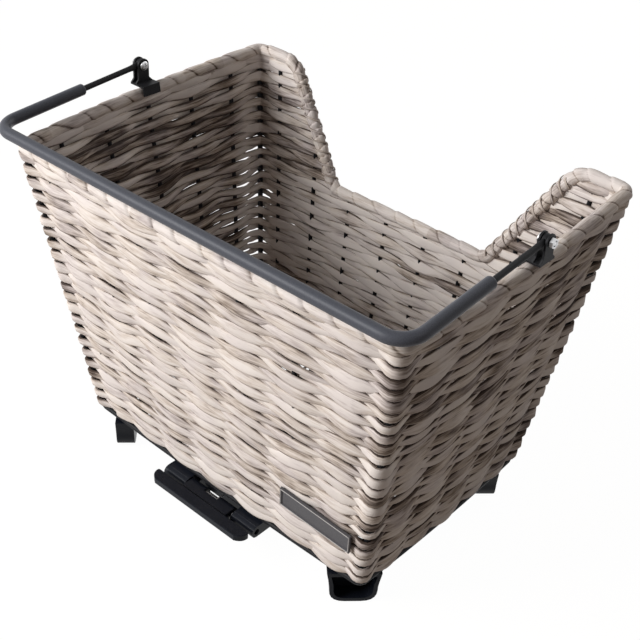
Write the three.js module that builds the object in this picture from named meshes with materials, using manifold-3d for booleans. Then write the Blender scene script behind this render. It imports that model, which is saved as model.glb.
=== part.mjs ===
// Rear bicycle basket: woven walls on a welded steel wire frame, a swing handle, four moulded feet
// and a quick-release adapter that grips a luggage rack.
//
// Units are millimetres and +Z is up. X runs along the long walls. -Y is the near long wall, which
// faces backwards on the bicycle, and +Y is the far long wall with the cut-out for the saddle.
// The origin is the centre of the adapter's underside, where it sits on the rack. Everything that
// stands in the group "basket" uses heights above the bottom edge of the weave.

import * as THREE from "three";
import { mergeVertices } from "three/addons/utils/BufferGeometryUtils.js";
import Module from "manifold-3d";

const wasm = await Module();
wasm.setup();

// Clearance between two pieces that touch or are welded on the real basket.
const GAP = 0.3;

// Walls: outside sizes, the near rim's height and the raised far corners' height.
const TOP_LENGTH = 400;
const TOP_WIDTH = 282;
const BOTTOM_LENGTH = 325;
const BOTTOM_WIDTH = 220;
const NEAR_HEIGHT = 261;
const FAR_HEIGHT = 274;
const WALL = 10;
const WEAVE_RELIEF = 2;
const WEAVE_COURSES = 27;
const CORNER_RADIUS = 12;
const TOP_BOW = 5;
const BOTTOM_BOW = 2;

// Saddle cut-out in the far wall.
const CUTOUT_TOP_WIDTH = 296;
const CUTOUT_SILL_WIDTH = 166;
const CUTOUT_SILL_HEIGHT = 170;
const HORN_BEND = 25;
const SILL_BEND = 14;

// Wire frame and the border that is wrapped round its top wire.
const BINDING = 11.5;
const RIM_WIRE = 5;
const BASE_WIRE = 5;
const STAKE = 4;
const CORNER_POST = 5;
const HOOP_BEND = 7;
const NEAR_STAKES = 7;
const FAR_STAKES = 8;
const SIDE_HOOPS = 5;
const NEAR_STAKE_MARGIN = 38;
const FAR_STAKE_MARGIN = 32;
const HOOP_MARGIN = 43;

// Floor, and the plate that clamps it to the adapter.
const FLOOR = 6;
const FLOOR_CLEARANCE = 0.5;
const CLAMP_PLATE = 2;
const CLAMP_PLATE_MARGIN = 11;

// Bail: the rod, its thick grip and the eyes at its ends.
const BAIL_ROD = 4.8;
const GRIP = 9.6;
const BAIL_BEND = 18;
const GRIP_START = 62;
const ARM_OUTSET = 0.2;
const GRIP_OVERHANG = 2;
const GRIP_REST_GAP = 6;
const EYE_RADIUS = 5;
const EYE_THICKNESS = 3.4;
const EYE_NECK = 11;

// Bail brackets and their pivot screws.
const PIVOT_RISE = 17;
const EAR = 1.6;
const EAR_RADIUS = 5.8;
const EAR_CLEARANCE = 0.4;
const BRACKET_FOOT_WIDTH = 18;
const BRACKET_LEG = 7;
const PIVOT_SCREW = 4;
const PIVOT_HEAD_RADIUS = 3.9;
const PIVOT_HEAD = 2.2;
const PIVOT_NUT_RADIUS = 4;
const PIVOT_NUT = 3.2;

// Feet: a moulded cup that stands across each corner, open towards the corner.
const FOOT_HEIGHT = 37;
const FOOT_WIDTH = 39;
const FOOT_FLARE = 2.5;
const FOOT_DEPTH = 16.5;
const FOOT_WALL = 3.5;
const FOOT_WEB = 3;
const FOOT_ROUND = 13;
const FOOT_SETBACK_X = 23.5;
const FOOT_SETBACK_Y = 19.5;
const FOOT_BOSS_RADIUS = 6;
const FOOT_SCREW = 4;
const FOOT_SCREW_HOLD = 10;

// Rack adapter: its plate, its knuckles for the lever's pin and its fixed claws.
const ADAPTER_DEPTH = 17;
const ADAPTER_WIDTH = 108;
const ADAPTER_REAR = 92;
const ADAPTER_FRONT_INSET = 7;
const ADAPTER_CORNER = 12;
const PAD_INSET = 6;
const ADAPTER_SCREW = 5;
const ADAPTER_SCREW_HOLD = 12;
const SCREW_SPACING_X = 68;
const SCREW_SPACING_Y = 114;
const KNUCKLE_RADIUS = 5.5;
const KNUCKLE_INNER = 28;
const PIN = 5;
const PIN_RISE = 5.5;
const PIN_OUTSET = 4;
const PIN_RECESS = 2;
const RAIL = 8;
const CLAW = 3;
const CLAW_WIDTH = 14;
const CLAW_SPACING = 80;

// Release lever: a T-bar on a flat arm that turns on the pin, with two hooks under it.
const BAR_LENGTH = 110;
const BAR_TAPER = 7;
const BAR_WIDTH = 11;
const BAR_THICKNESS = 6;
const BAR_REACH = 21;
const BAR_RISE = 7;
const ARM_THICKNESS = 6;
const ARM_FLARE = 5;
const BARREL_RADIUS = 6.5;
const BARREL_HALF = 26;
const COVER_LIP = 1;
const HOOK_WIDTH = 8;
const HOOK_STEM = 7;
const HOOK_REACH = 6;

// Torsion spring on the pin.
const SPRING_WIRE = 1.4;
const SPRING_RADIUS = 4.2;
const SPRING_TURNS = 6;
const SPRING_PITCH = 2.1;
const SPRING_LEG = 9;
const SPRING_FAR_LEG = 16;

// Badge: a bare plate with a raised edge, low on the near wall.
const BADGE_LENGTH = 70;
const BADGE_HEIGHT = 20;
const BADGE_PLATE = 1.6;
const BADGE_EDGE = 0.8;
const BADGE_EDGE_WIDTH = 2;
const BADGE_SINK = 1;
const BADGE_X = 117;
const BADGE_LEVEL = 48;
const BADGE_TILT = 5;

const materials = {
  weave: { color: 0xc9bcb0, roughness: 0.75, metalness: 0 },
  wire: { color: 0x1c1c1e, roughness: 0.5, metalness: 0.3 },
  grip: { color: 0x4a4950, roughness: 0.45, metalness: 0 },
  moulding: { color: 0x1b1b1d, roughness: 0.55, metalness: 0 },
  steel: { color: 0xb9bbbe, roughness: 0.3, metalness: 1 },
  badge: { color: 0x55535a, roughness: 0.4, metalness: 0.2 },
};

// Small tools for shapes

function piece(name, geometry, material) {
  const mesh = new THREE.Mesh(geometry, new THREE.MeshStandardMaterial(materials[material]));
  mesh.name = name;
  return mesh;
}

function toSolid(geometry) {
  const bare = geometry.clone();
  bare.deleteAttribute("normal");
  bare.deleteAttribute("uv");
  const merged = mergeVertices(bare, 1e-4);
  const corners = Array.from(merged.index.array);
  const kept = [];
  for (let k = 0; k < corners.length; k += 3) {
    const [a, b, c] = corners.slice(k, k + 3);
    if (a !== b && b !== c && c !== a) kept.push(a, b, c);
  }
  return new wasm.Manifold(new wasm.Mesh({
    numProp: 3,
    vertProperties: new Float32Array(merged.attributes.position.array),
    triVerts: new Uint32Array(kept),
  }));
}

function toGeometry(solid) {
  const mesh = solid.getMesh();
  const geometry = new THREE.BufferGeometry();
  geometry.setAttribute("position", new THREE.BufferAttribute(mesh.vertProperties, 3));
  geometry.setIndex(new THREE.BufferAttribute(mesh.triVerts, 1));
  const faceted = geometry.toNonIndexed();
  faceted.computeVertexNormals();
  return faceted;
}

// Joins the first list of geometries and cuts the second list out of them.
function carve(joined, cut = []) {
  const solids = joined.map(toSolid);
  let result = solids[0];
  for (const solid of solids.slice(1)) result = result.add(solid);
  for (const geometry of cut) result = result.subtract(toSolid(geometry));
  return toGeometry(result);
}

function boxBetween(low, high) {
  const box = new THREE.BoxGeometry(high[0] - low[0], high[1] - low[1], high[2] - low[2]);
  return box.translate((low[0] + high[0]) / 2, (low[1] + high[1]) / 2, (low[2] + high[2]) / 2);
}

function rodBetween(start, end, radius, sides = 8) {
  const way = end.clone().sub(start);
  const rod = new THREE.CylinderGeometry(radius, radius, way.length(), sides);
  const turn = new THREE.Quaternion();
  turn.setFromUnitVectors(new THREE.Vector3(0, 1, 0), way.clone().normalize());
  rod.applyQuaternion(turn);
  const middle = start.clone().add(end).multiplyScalar(0.5);
  return rod.translate(middle.x, middle.y, middle.z);
}

function rodAlongX(x0, x1, y, z, radius, sides = 16) {
  return rodBetween(new THREE.Vector3(x0, y, z), new THREE.Vector3(x1, y, z), radius, sides);
}

function rodUpright(x, y, z0, z1, radius, sides = 16) {
  return rodBetween(new THREE.Vector3(x, y, z0), new THREE.Vector3(x, y, z1), radius, sides);
}

// A flat outline in X and Y, raised from z0 to z1.
function slab(shape, z0, z1) {
  const body = new THREE.ExtrudeGeometry(shape, {
    depth: z1 - z0, bevelEnabled: false, curveSegments: 6,
  });
  return body.translate(0, 0, z0);
}

// A flat outline in Y and Z, given thickness from x0 to x1.
function sidePlate(shape, x0, x1) {
  const body = new THREE.ExtrudeGeometry(shape, {
    depth: x1 - x0, bevelEnabled: false, curveSegments: 8,
  });
  body.applyMatrix4(new THREE.Matrix4().makeBasis(
    new THREE.Vector3(0, 1, 0), new THREE.Vector3(0, 0, 1), new THREE.Vector3(1, 0, 0)));
  return body.translate(x0, 0, 0);
}

// A flat outline in X and Z, given thickness from y0 to y1.
function frontPlate(shape, y0, y1) {
  const body = new THREE.ExtrudeGeometry(shape, {
    depth: y1 - y0, bevelEnabled: false, curveSegments: 5,
  });
  return body.rotateX(Math.PI / 2).translate(0, y1, 0);
}

function roundedRectangle(x0, y0, x1, y1, radius) {
  const shape = new THREE.Shape();
  shape.moveTo(x0 + radius, y0);
  shape.lineTo(x1 - radius, y0);
  shape.quadraticCurveTo(x1, y0, x1, y0 + radius);
  shape.lineTo(x1, y1 - radius);
  shape.quadraticCurveTo(x1, y1, x1 - radius, y1);
  shape.lineTo(x0 + radius, y1);
  shape.quadraticCurveTo(x0, y1, x0, y1 - radius);
  shape.lineTo(x0, y0 + radius);
  shape.quadraticCurveTo(x0, y0, x0 + radius, y0);
  return shape;
}

function polygon(sides, radius) {
  const points = [];
  for (let k = 0; k < sides; k += 1) {
    const angle = (2 * Math.PI * (k + 0.5)) / sides;
    points.push(new THREE.Vector2(radius * Math.cos(angle), radius * Math.sin(angle)));
  }
  return points;
}

// A path that an extrusion follows from corner point to corner point, with one ring at each.
class BentPath extends THREE.Curve {
  constructor(points) {
    super();
    this.points = points;
  }

  getPoint(t, target = new THREE.Vector3()) {
    const place = t * (this.points.length - 1);
    const k = Math.min(Math.floor(place), this.points.length - 2);
    return target.lerpVectors(this.points[k], this.points[k + 1], place - k);
  }

  getPointAt(u, target) {
    return this.getPoint(u, target);
  }

  getTangentAt(u, target = new THREE.Vector3()) {
    const last = this.points.length - 1;
    const k = Math.round(u * last);
    const before = this.points[k].clone().sub(this.points[Math.max(k - 1, 0)]).normalize();
    const after = this.points[Math.min(k + 1, last)].clone().sub(this.points[k]).normalize();
    return target.addVectors(before, after).normalize();
  }
}

function tube(points, outline, holes = []) {
  const shape = new THREE.Shape(outline);
  shape.holes = holes.map((hole) => new THREE.Path(hole));
  return new THREE.ExtrudeGeometry(shape, {
    steps: points.length - 1, extrudePath: new BentPath(points), bevelEnabled: false,
  });
}

// Rounds the inner corners of a route with arcs of one radius for each corner.
function roundRoute(corners, radii, steps = 5) {
  const route = [corners[0]];
  for (let k = 1; k < corners.length - 1; k += 1) {
    const back = corners[k - 1].clone().sub(corners[k]).normalize();
    const onward = corners[k + 1].clone().sub(corners[k]).normalize();
    const halfAngle = back.angleTo(onward) / 2;
    const radius = radii[k - 1];
    const bisector = back.clone().add(onward).normalize();
    const centre = corners[k].clone().addScaledVector(bisector, radius / Math.sin(halfAngle));
    const first = corners[k].clone().addScaledVector(back, radius / Math.tan(halfAngle)).sub(centre);
    const last = corners[k].clone().addScaledVector(onward, radius / Math.tan(halfAngle)).sub(centre);
    const turn = first.angleTo(last);
    for (let j = 0; j <= steps; j += 1) {
      const part = j / steps;
      const arm = first.clone().multiplyScalar(Math.sin((1 - part) * turn) / Math.sin(turn));
      arm.addScaledVector(last, Math.sin(part * turn) / Math.sin(turn));
      route.push(centre.clone().add(arm));
    }
  }
  route.push(corners[corners.length - 1]);
  return route;
}

// A closed loop with one section ring at each point. Each section point is [out, up]: out is along
// the loop's outward direction there, and up is square to it and to the loop.
function loopSolid(loop, section) {
  const count = loop.length;
  const sides = section.length;
  const positions = [];
  for (let k = 0; k < count; k += 1) {
    const before = loop[(k + count - 1) % count].place;
    const here = loop[k].place;
    const after = loop[(k + 1) % count].place;
    const along = here.clone().sub(before).normalize();
    along.add(after.clone().sub(here).normalize()).normalize();
    const up = new THREE.Vector3().crossVectors(loop[k].out, along).normalize();
    const out = new THREE.Vector3().crossVectors(along, up).normalize();
    for (const [a, b] of section) {
      const point = here.clone().addScaledVector(out, a).addScaledVector(up, b);
      positions.push(point.x, point.y, point.z);
    }
  }
  const index = [];
  for (let k = 0; k < count; k += 1) {
    for (let i = 0; i < sides; i += 1) {
      const a = k * sides + i;
      const b = k * sides + ((i + 1) % sides);
      const c = ((k + 1) % count) * sides + i;
      const d = ((k + 1) % count) * sides + ((i + 1) % sides);
      index.push(a, c, b, b, c, d);
    }
  }
  const geometry = new THREE.BufferGeometry();
  geometry.setAttribute("position", new THREE.Float32BufferAttribute(positions, 3));
  geometry.setIndex(index);
  const faceted = geometry.toNonIndexed();
  faceted.computeVertexNormals();
  return faceted;
}

// The basket's form: half sizes, bow and rim line at a height above the bottom edge of the weave

function atHeight(bottom, top, height) {
  return bottom + ((top - bottom) * height) / NEAR_HEIGHT;
}

function halfLength(height) {
  return atHeight(BOTTOM_LENGTH / 2, TOP_LENGTH / 2, height);
}

function halfWidth(height) {
  return atHeight(BOTTOM_WIDTH / 2, TOP_WIDTH / 2, height);
}

function bow(height) {
  return atHeight(BOTTOM_BOW, TOP_BOW, height);
}

function rimTop(y) {
  return NEAR_HEIGHT + ((FAR_HEIGHT - NEAR_HEIGHT) * (y + TOP_WIDTH / 2)) / TOP_WIDTH;
}

const MIDDLE = BINDING / 2;

// A place on one wall. share runs from -1 to 1 between the two rounded corners of that wall.
function wallPlace(side, share, height, inset = MIDDLE) {
  const runX = halfLength(height) - CORNER_RADIUS;
  const runY = halfWidth(height) - CORNER_RADIUS;
  const swell = bow(height) * (1 - share * share);
  if (side === "near" || side === "far") {
    const y = halfWidth(height) - inset + swell;
    return new THREE.Vector3(share * runX, side === "near" ? -y : y, height);
  }
  const x = halfLength(height) - inset + swell;
  return new THREE.Vector3(side === "left" ? -x : x, share * runY, height);
}

// Points round the basket, anticlockwise from above, starting at the left end of the near wall.
function planLoop(height, inset, sideSteps = 6, cornerSteps = 4) {
  const loop = [];
  const radius = CORNER_RADIUS - inset;
  const order = [["near", 1, -90], ["right", 1, 0], ["far", -1, 90], ["left", -1, 180]];
  for (const [side, way, startAngle] of order) {
    const squareOut = new THREE.Vector3(
      Math.cos((startAngle * Math.PI) / 180), Math.sin((startAngle * Math.PI) / 180), 0).round();
    for (let k = 0; k < sideSteps; k += 1) {
      const share = way * ((2 * k) / sideSteps - 1);
      loop.push({ place: wallPlace(side, share, height, inset), out: squareOut, side, share });
    }
    const end = wallPlace(side, way, height, inset);
    const centre = end.clone().addScaledVector(squareOut, -radius);
    for (let k = 0; k < cornerSteps; k += 1) {
      const angle = ((startAngle + (90 * k) / cornerSteps) * Math.PI) / 180;
      const out = new THREE.Vector3(Math.cos(angle), Math.sin(angle), 0);
      loop.push({ place: centre.clone().addScaledVector(out, radius), out, side: "corner" });
    }
  }
  return loop;
}

function planShape(height, inset) {
  return new THREE.Shape(planLoop(height, inset).map(({ place }) => new THREE.Vector2(place.x, place.y)));
}

// The far wall's wire in X and height, from the right corner down round the saddle cut-out to the
// left corner.
function cutoutRoute() {
  const lean = Math.atan2((CUTOUT_TOP_WIDTH - CUTOUT_SILL_WIDTH) / 2, FAR_HEIGHT - CUTOUT_SILL_HEIGHT);
  const shift = MIDDLE / Math.cos(lean) - MIDDLE * Math.tan(lean);
  const endX = halfLength(FAR_HEIGHT) - CORNER_RADIUS;
  const hornX = CUTOUT_TOP_WIDTH / 2 + shift;
  const sillX = CUTOUT_SILL_WIDTH / 2 + shift;
  const hornLevel = FAR_HEIGHT - MIDDLE;
  const sillLevel = CUTOUT_SILL_HEIGHT - MIDDLE;
  const rightHalf = [[endX, hornLevel], [hornX, hornLevel], [sillX, sillLevel]];
  const leftHalf = rightHalf.map(([x, z]) => [-x, z]).reverse();
  const corners = [...rightHalf, ...leftHalf].map(([x, z]) => new THREE.Vector3(x, 0, z));
  return roundRoute(corners, [HORN_BEND, SILL_BEND, SILL_BEND, HORN_BEND]);
}

// The rim's centre line: level with the walls' tops, and down round the cut-out in the far wall.
function rimLoop() {
  const loop = [];
  for (const point of planLoop(NEAR_HEIGHT, MIDDLE)) {
    const height = rimTop(point.place.y) - MIDDLE;
    const spread = new THREE.Vector3(
      halfLength(height) / halfLength(NEAR_HEIGHT), halfWidth(height) / halfWidth(NEAR_HEIGHT), 1);
    const place = point.place.clone().multiply(spread).setZ(height);
    const lean = point.out.clone().setZ(-(TOP_WIDTH - BOTTOM_WIDTH) / 2 / NEAR_HEIGHT).normalize();
    if (point.side !== "far") loop.push({ place, out: lean });
    if (point.side === "far" && point.share === 1) {
      const route = cutoutRoute();
      const sill = route.findIndex((spot) => spot.x < 0);
      const sillSteps = [0.25, 0.5, 0.75].map((part) => route[sill - 1].clone().lerp(route[sill], part));
      route.splice(sill, 0, ...sillSteps);
      route.pop();
      for (const spot of route) {
        const share = spot.x / (halfLength(spot.z) - CORNER_RADIUS);
        loop.push({ place: wallPlace("far", Math.min(share, 1), spot.z), out: lean });
      }
    }
  }
  return loop;
}

const rim = rimLoop();

// The lowest height at which a wire that climbs the wall would touch the rim's wire or its binding.
function topUnderRim(foot, head, reach, radius) {
  const way = head.clone().sub(foot).normalize();
  const total = foot.distanceTo(head);
  for (let climbed = 0; climbed < total * 1.2; climbed += 0.2) {
    const tip = foot.clone().addScaledVector(way, climbed);
    for (let k = 0; k < rim.length; k += 1) {
      const line = new THREE.Line3(rim[k].place, rim[(k + 1) % rim.length].place);
      const nearest = line.closestPointToPoint(tip, true, new THREE.Vector3());
      const along = line.delta(new THREE.Vector3()).normalize();
      const clear = reach + GAP + radius * Math.abs(along.dot(way));
      if (nearest.distanceTo(tip) < clear) return tip;
    }
  }
  return head;
}

// Wire frame

const RING_LEVEL = -(GAP + BASE_WIRE / 2);
const HOOP_LEVEL = STAKE / 2;

function roundSection(radius, sides) {
  return polygon(sides, radius).map((point) => [point.x, point.y]);
}

const rimWire = loopSolid(rim, roundSection(RIM_WIRE / 2, 6));
const baseRing = loopSolid(planLoop(RING_LEVEL, MIDDLE), roundSection(BASE_WIRE / 2, 7));

// Straight stakes in the near and far walls, from the base ring to the rim's wire.
function wallStakes(side, count, margin) {
  const pitch = (TOP_LENGTH - 2 * margin) / (count - 1);
  const stakes = [];
  for (let k = 0; k < count; k += 1) {
    const share = (k * pitch + margin - TOP_LENGTH / 2) / (TOP_LENGTH / 2 - CORNER_RADIUS);
    const foot = wallPlace(side, share, 0);
    const head = wallPlace(side, share, NEAR_HEIGHT);
    stakes.push({ share, foot, tip: topUnderRim(foot, head, RIM_WIRE / 2, STAKE / 2) });
  }
  return stakes;
}

const nearStakes = wallStakes("near", NEAR_STAKES, NEAR_STAKE_MARGIN);
const farStakes = wallStakes("far", FAR_STAKES, FAR_STAKE_MARGIN);

// Hoops that come down the left wall, cross under the floor and go up the right wall.
function sideHoops() {
  const pitch = (TOP_WIDTH - 2 * HOOP_MARGIN) / (SIDE_HOOPS - 1);
  const hoops = [];
  for (let k = 0; k < SIDE_HOOPS; k += 1) {
    const share = (k * pitch + HOOP_MARGIN - TOP_WIDTH / 2) / (TOP_WIDTH / 2 - CORNER_RADIUS);
    const foot = wallPlace("right", share, HOOP_LEVEL);
    const head = wallPlace("right", share, NEAR_HEIGHT);
    const tip = topUnderRim(foot, head, RIM_WIRE / 2, STAKE / 2);
    const mirror = (point) => new THREE.Vector3(-point.x, point.y, point.z);
    const route = roundRoute([mirror(tip), mirror(foot), foot, tip], [HOOP_BEND, HOOP_BEND]);
    hoops.push({ share, route });
  }
  return hoops;
}

const hoops = sideHoops();

// Thicker posts in the four corners, which end under the binding.
function cornerPosts() {
  const names = [["near_left", -1, -1], ["near_right", 1, -1], ["far_right", 1, 1], ["far_left", -1, 1]];
  return names.map(([name, signX, signY]) => {
    const reach = (CORNER_RADIUS - MIDDLE) * Math.SQRT1_2 - CORNER_RADIUS;
    const place = (height) => new THREE.Vector3(
      signX * (halfLength(height) + reach), signY * (halfWidth(height) + reach), height);
    const foot = place(0);
    const tip = topUnderRim(foot, place(NEAR_HEIGHT), BINDING / 2, CORNER_POST / 2);
    return { name, foot, tip };
  });
}

const posts = cornerPosts();

// Binding: a wrapped border, open underneath where the stakes and the weave go in

function bindingSection() {
  const slot = STAKE / 2 + GAP;
  const bore = RIM_WIRE / 2 + GAP;
  const outerSteps = 8;
  const boreSteps = 4;
  const section = [];
  const outerStart = Math.asin(slot / MIDDLE);
  for (let k = 0; k <= outerSteps; k += 1) {
    const angle = -Math.PI / 2 + outerStart + (2 * (Math.PI - outerStart) * k) / outerSteps;
    section.push([MIDDLE * Math.cos(angle), MIDDLE * Math.sin(angle)]);
  }
  const boreStart = Math.asin(slot / bore);
  const boreRadius = bore / Math.cos((Math.PI - boreStart) / boreSteps);
  for (let k = boreSteps; k >= 0; k -= 1) {
    const angle = -Math.PI / 2 + boreStart + (2 * (Math.PI - boreStart) * k) / boreSteps;
    section.push([boreRadius * Math.cos(angle), boreRadius * Math.sin(angle)]);
  }
  return section;
}

const rimBinding = loopSolid(rim, bindingSection());

// Woven walls: one shell, cut to the rim's line and the saddle cut-out, with room for every wire

// Columns of the wall's grid: one at each upright, where the courses pass outside it and inside it
// in turn, and a flat one (pass 0) where each wall meets its rounded corner.
function wallColumns() {
  const columns = [];
  let pass = 1;
  const walls = [["near", 1, nearStakes], ["right", 1, hoops], ["far", -1, farStakes], ["left", -1, hoops]];
  for (const [side, way, uprights] of walls) {
    const shares = uprights.map(({ share }) => share);
    if (way < 0) shares.reverse();
    columns.push({ side, share: -way, pass: 0 });
    for (const share of shares) {
      columns.push({ side, share, pass });
      pass = -pass;
    }
    columns.push({ side, share: way, pass: 0 }, { side: "corner", pass });
    pass = -pass;
  }
  return columns;
}

// A point of the shell's outer face (face 1) or inner face (face -1) at a column and height.
function wallPoint(columns, k, height, face, bulge) {
  const { side, share, pass } = columns[k];
  const reach = (face * WALL) / 2 - (face * WEAVE_RELIEF * (1 - face * pass * bulge)) / 2;
  if (side !== "corner") return wallPlace(side, share, height, MIDDLE - reach);
  const before = columns[k - 1];
  const after = columns[(k + 1) % columns.length];
  const middle = wallPlace(before.side, before.share, height);
  middle.add(wallPlace(after.side, after.share, height)).multiplyScalar(0.5);
  const out = new THREE.Vector3(Math.sign(middle.x), Math.sign(middle.y), 0).normalize();
  const radius = CORNER_RADIUS - MIDDLE;
  return middle.addScaledVector(out, radius * (1 - Math.SQRT1_2) + reach);
}

function wallShell() {
  const top = FAR_HEIGHT + BINDING;
  const columns = wallColumns();
  const count = columns.length;
  const rings = [];
  for (const face of [1, -1]) {
    const courses = [];
    for (let row = 0; row <= WEAVE_COURSES; row += 1) {
      const bulge = row % 2 === 0 ? 1 : -1;
      const height = (top * row) / WEAVE_COURSES;
      courses.push(columns.map((column, k) => ({
        place: wallPoint(columns, k, height, face, bulge), low: face * column.pass * bulge < 0,
      })));
    }
    rings.push(...(face > 0 ? courses : courses.reverse()));
  }
  const positions = rings.flat().flatMap(({ place }) => [place.x, place.y, place.z]);
  const index = [];
  for (let r = 0; r < rings.length; r += 1) {
    const next = (r + 1) % rings.length;
    for (let k = 0; k < count; k += 1) {
      const after = (k + 1) % count;
      const [a, b, c, d] = [r * count + k, r * count + after, next * count + k, next * count + after];
      if (rings[r][k].low || rings[next][after].low) index.push(a, b, d, a, d, c);
      else index.push(a, b, c, b, d, c);
    }
  }
  const geometry = new THREE.BufferGeometry();
  geometry.setAttribute("position", new THREE.Float32BufferAttribute(positions, 3));
  geometry.setIndex(index);
  return geometry;
}

function aboveRim() {
  const far = TOP_WIDTH;
  const shape = new THREE.Shape();
  shape.moveTo(-far, rimTop(-far) - MIDDLE);
  shape.lineTo(far, rimTop(far) - MIDDLE);
  shape.lineTo(far, 2 * FAR_HEIGHT);
  shape.lineTo(-far, 2 * FAR_HEIGHT);
  return sidePlate(shape, -TOP_LENGTH, TOP_LENGTH);
}

function cutoutBlock() {
  const shape = new THREE.Shape(cutoutRoute().map((spot) => new THREE.Vector2(spot.x, spot.z)));
  const [right, left] = [shape.getPoints()[0].x, -shape.getPoints()[0].x];
  shape.lineTo(left, 2 * FAR_HEIGHT);
  shape.lineTo(right, 2 * FAR_HEIGHT);
  return frontPlate(shape, BOTTOM_WIDTH / 4, TOP_WIDTH);
}

function grownRod(start, end, radius) {
  const way = end.clone().sub(start).normalize();
  const from = start.clone().addScaledVector(way, -WALL);
  return rodBetween(from, end.clone().addScaledVector(way, GAP), radius + GAP, 6);
}

// Badge

const badgeFrame = new THREE.Group();
{
  const share = BADGE_X / (halfLength(BADGE_LEVEL) - CORNER_RADIUS);
  const face = wallPlace("near", share, BADGE_LEVEL, MIDDLE - WALL / 2);
  const lean = Math.atan((TOP_WIDTH - BOTTOM_WIDTH) / 2 / NEAR_HEIGHT);
  const turn = Math.atan((2 * bow(BADGE_LEVEL) * share) / (halfLength(BADGE_LEVEL) - CORNER_RADIUS));
  badgeFrame.position.copy(face);
  badgeFrame.rotation.order = "ZXY";
  badgeFrame.rotation.set(lean, (BADGE_TILT * Math.PI) / 180, turn);
  badgeFrame.updateMatrix();
}

function badgePlate() {
  const halfX = BADGE_LENGTH / 2;
  const halfZ = BADGE_HEIGHT / 2;
  const edge = BADGE_EDGE_WIDTH;
  const front = -(BADGE_PLATE + BADGE_EDGE) + BADGE_SINK;
  const back = BADGE_SINK;
  const plate = boxBetween([-halfX, front, -halfZ], [halfX, back, halfZ]);
  const field = boxBetween(
    [-halfX + edge, front - 1, -halfZ + edge], [halfX - edge, front + BADGE_EDGE, halfZ - edge]);
  return carve([plate], [field]);
}

function badgePocket() {
  const halfX = BADGE_LENGTH / 2 + GAP;
  const halfZ = BADGE_HEIGHT / 2 + GAP;
  const pocket = boxBetween([-halfX, -WALL, -halfZ], [halfX, BADGE_SINK + GAP, halfZ]);
  return pocket.applyMatrix4(badgeFrame.matrix);
}

function wovenWalls() {
  const clearRadius = (MIDDLE + GAP) / Math.cos(Math.PI / 12);
  const cuts = [
    aboveRim(), cutoutBlock(), badgePocket(),
    loopSolid(rim, roundSection(clearRadius, 12)),
    ...[...nearStakes, ...farStakes].map(({ foot, tip }) => grownRod(foot, tip, STAKE / 2)),
    ...posts.map(({ foot, tip }) => grownRod(foot, tip, CORNER_POST / 2)),
    ...hoops.map(({ route }) => tube(route, polygon(6, STAKE / 2 + GAP))),
  ];
  return carve([wallShell()], cuts);
}

// Floor

const FLOOR_LEVEL = HOOP_LEVEL + STAKE / 2 + GAP;
const FLOOR_TOP = FLOOR_LEVEL + FLOOR;
const CLAMP_TOP = FLOOR_TOP + GAP + CLAMP_PLATE;

const screwPlaces = [];
for (const signX of [-1, 1]) {
  for (const signY of [-1, 1]) {
    screwPlaces.push([(signX * SCREW_SPACING_X) / 2, (signY * SCREW_SPACING_Y) / 2]);
  }
}

const footPlaces = [["near_left", -1, -1], ["near_right", 1, -1], ["far_right", 1, 1], ["far_left", -1, 1]]
  .map(([name, signX, signY]) => ({
    name,
    x: signX * (BOTTOM_LENGTH / 2 - FOOT_SETBACK_X),
    y: signY * (BOTTOM_WIDTH / 2 - FOOT_SETBACK_Y),
    turn: Math.atan2(signY, signX) - Math.PI / 2,
  }));

function roundHole(x, y, radius) {
  const hole = new THREE.Path();
  hole.absarc(x, y, radius, 0, 2 * Math.PI, true);
  return hole;
}

function floorPanel() {
  const shape = planShape(FLOOR_LEVEL, MIDDLE + WALL / 2 + FLOOR_CLEARANCE);
  for (const [x, y] of screwPlaces) shape.holes.push(roundHole(x, y, ADAPTER_SCREW / 2 + GAP));
  for (const { x, y } of footPlaces) shape.holes.push(roundHole(x, y, FOOT_SCREW / 2 + GAP));
  return slab(shape, FLOOR_LEVEL, FLOOR_TOP);
}

function clampPlate() {
  const x = SCREW_SPACING_X / 2 + CLAMP_PLATE_MARGIN;
  const y = SCREW_SPACING_Y / 2 + CLAMP_PLATE_MARGIN;
  const shape = roundedRectangle(-x, -y, x, y, CLAMP_PLATE_MARGIN / 2);
  for (const [holeX, holeY] of screwPlaces) {
    shape.holes.push(roundHole(holeX, holeY, ADAPTER_SCREW / 2 + GAP));
  }
  return slab(shape, FLOOR_TOP + GAP, CLAMP_TOP);
}

// A pan-head screw that points down, with its head's underside at z = 0 and a cross recess.
function panScrew(diameter, length, headRadius, headHeight) {
  const profile = [
    [0, -length], [diameter / 2, -length], [diameter / 2, 0], [headRadius, 0],
    [headRadius, headHeight * 0.45], [headRadius * 0.75, headHeight * 0.9], [0, headHeight],
  ].map(([x, y]) => new THREE.Vector2(x, y));
  const screw = new THREE.LatheGeometry(profile, 10).rotateX(Math.PI / 2);
  const slotLength = headRadius * 0.62;
  const slotWidth = headRadius * 0.14;
  const low = headHeight * 0.35;
  const cross = [
    boxBetween([-slotLength, -slotWidth, low], [slotLength, slotWidth, headHeight * 2]),
    boxBetween([-slotWidth, -slotLength, low], [slotWidth, slotLength, headHeight * 2]),
  ];
  return carve([screw], cross);
}

// Feet

const RING_BOTTOM = RING_LEVEL - BASE_WIRE / 2;
const FOOT_TOP = RING_BOTTOM - GAP;

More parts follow.
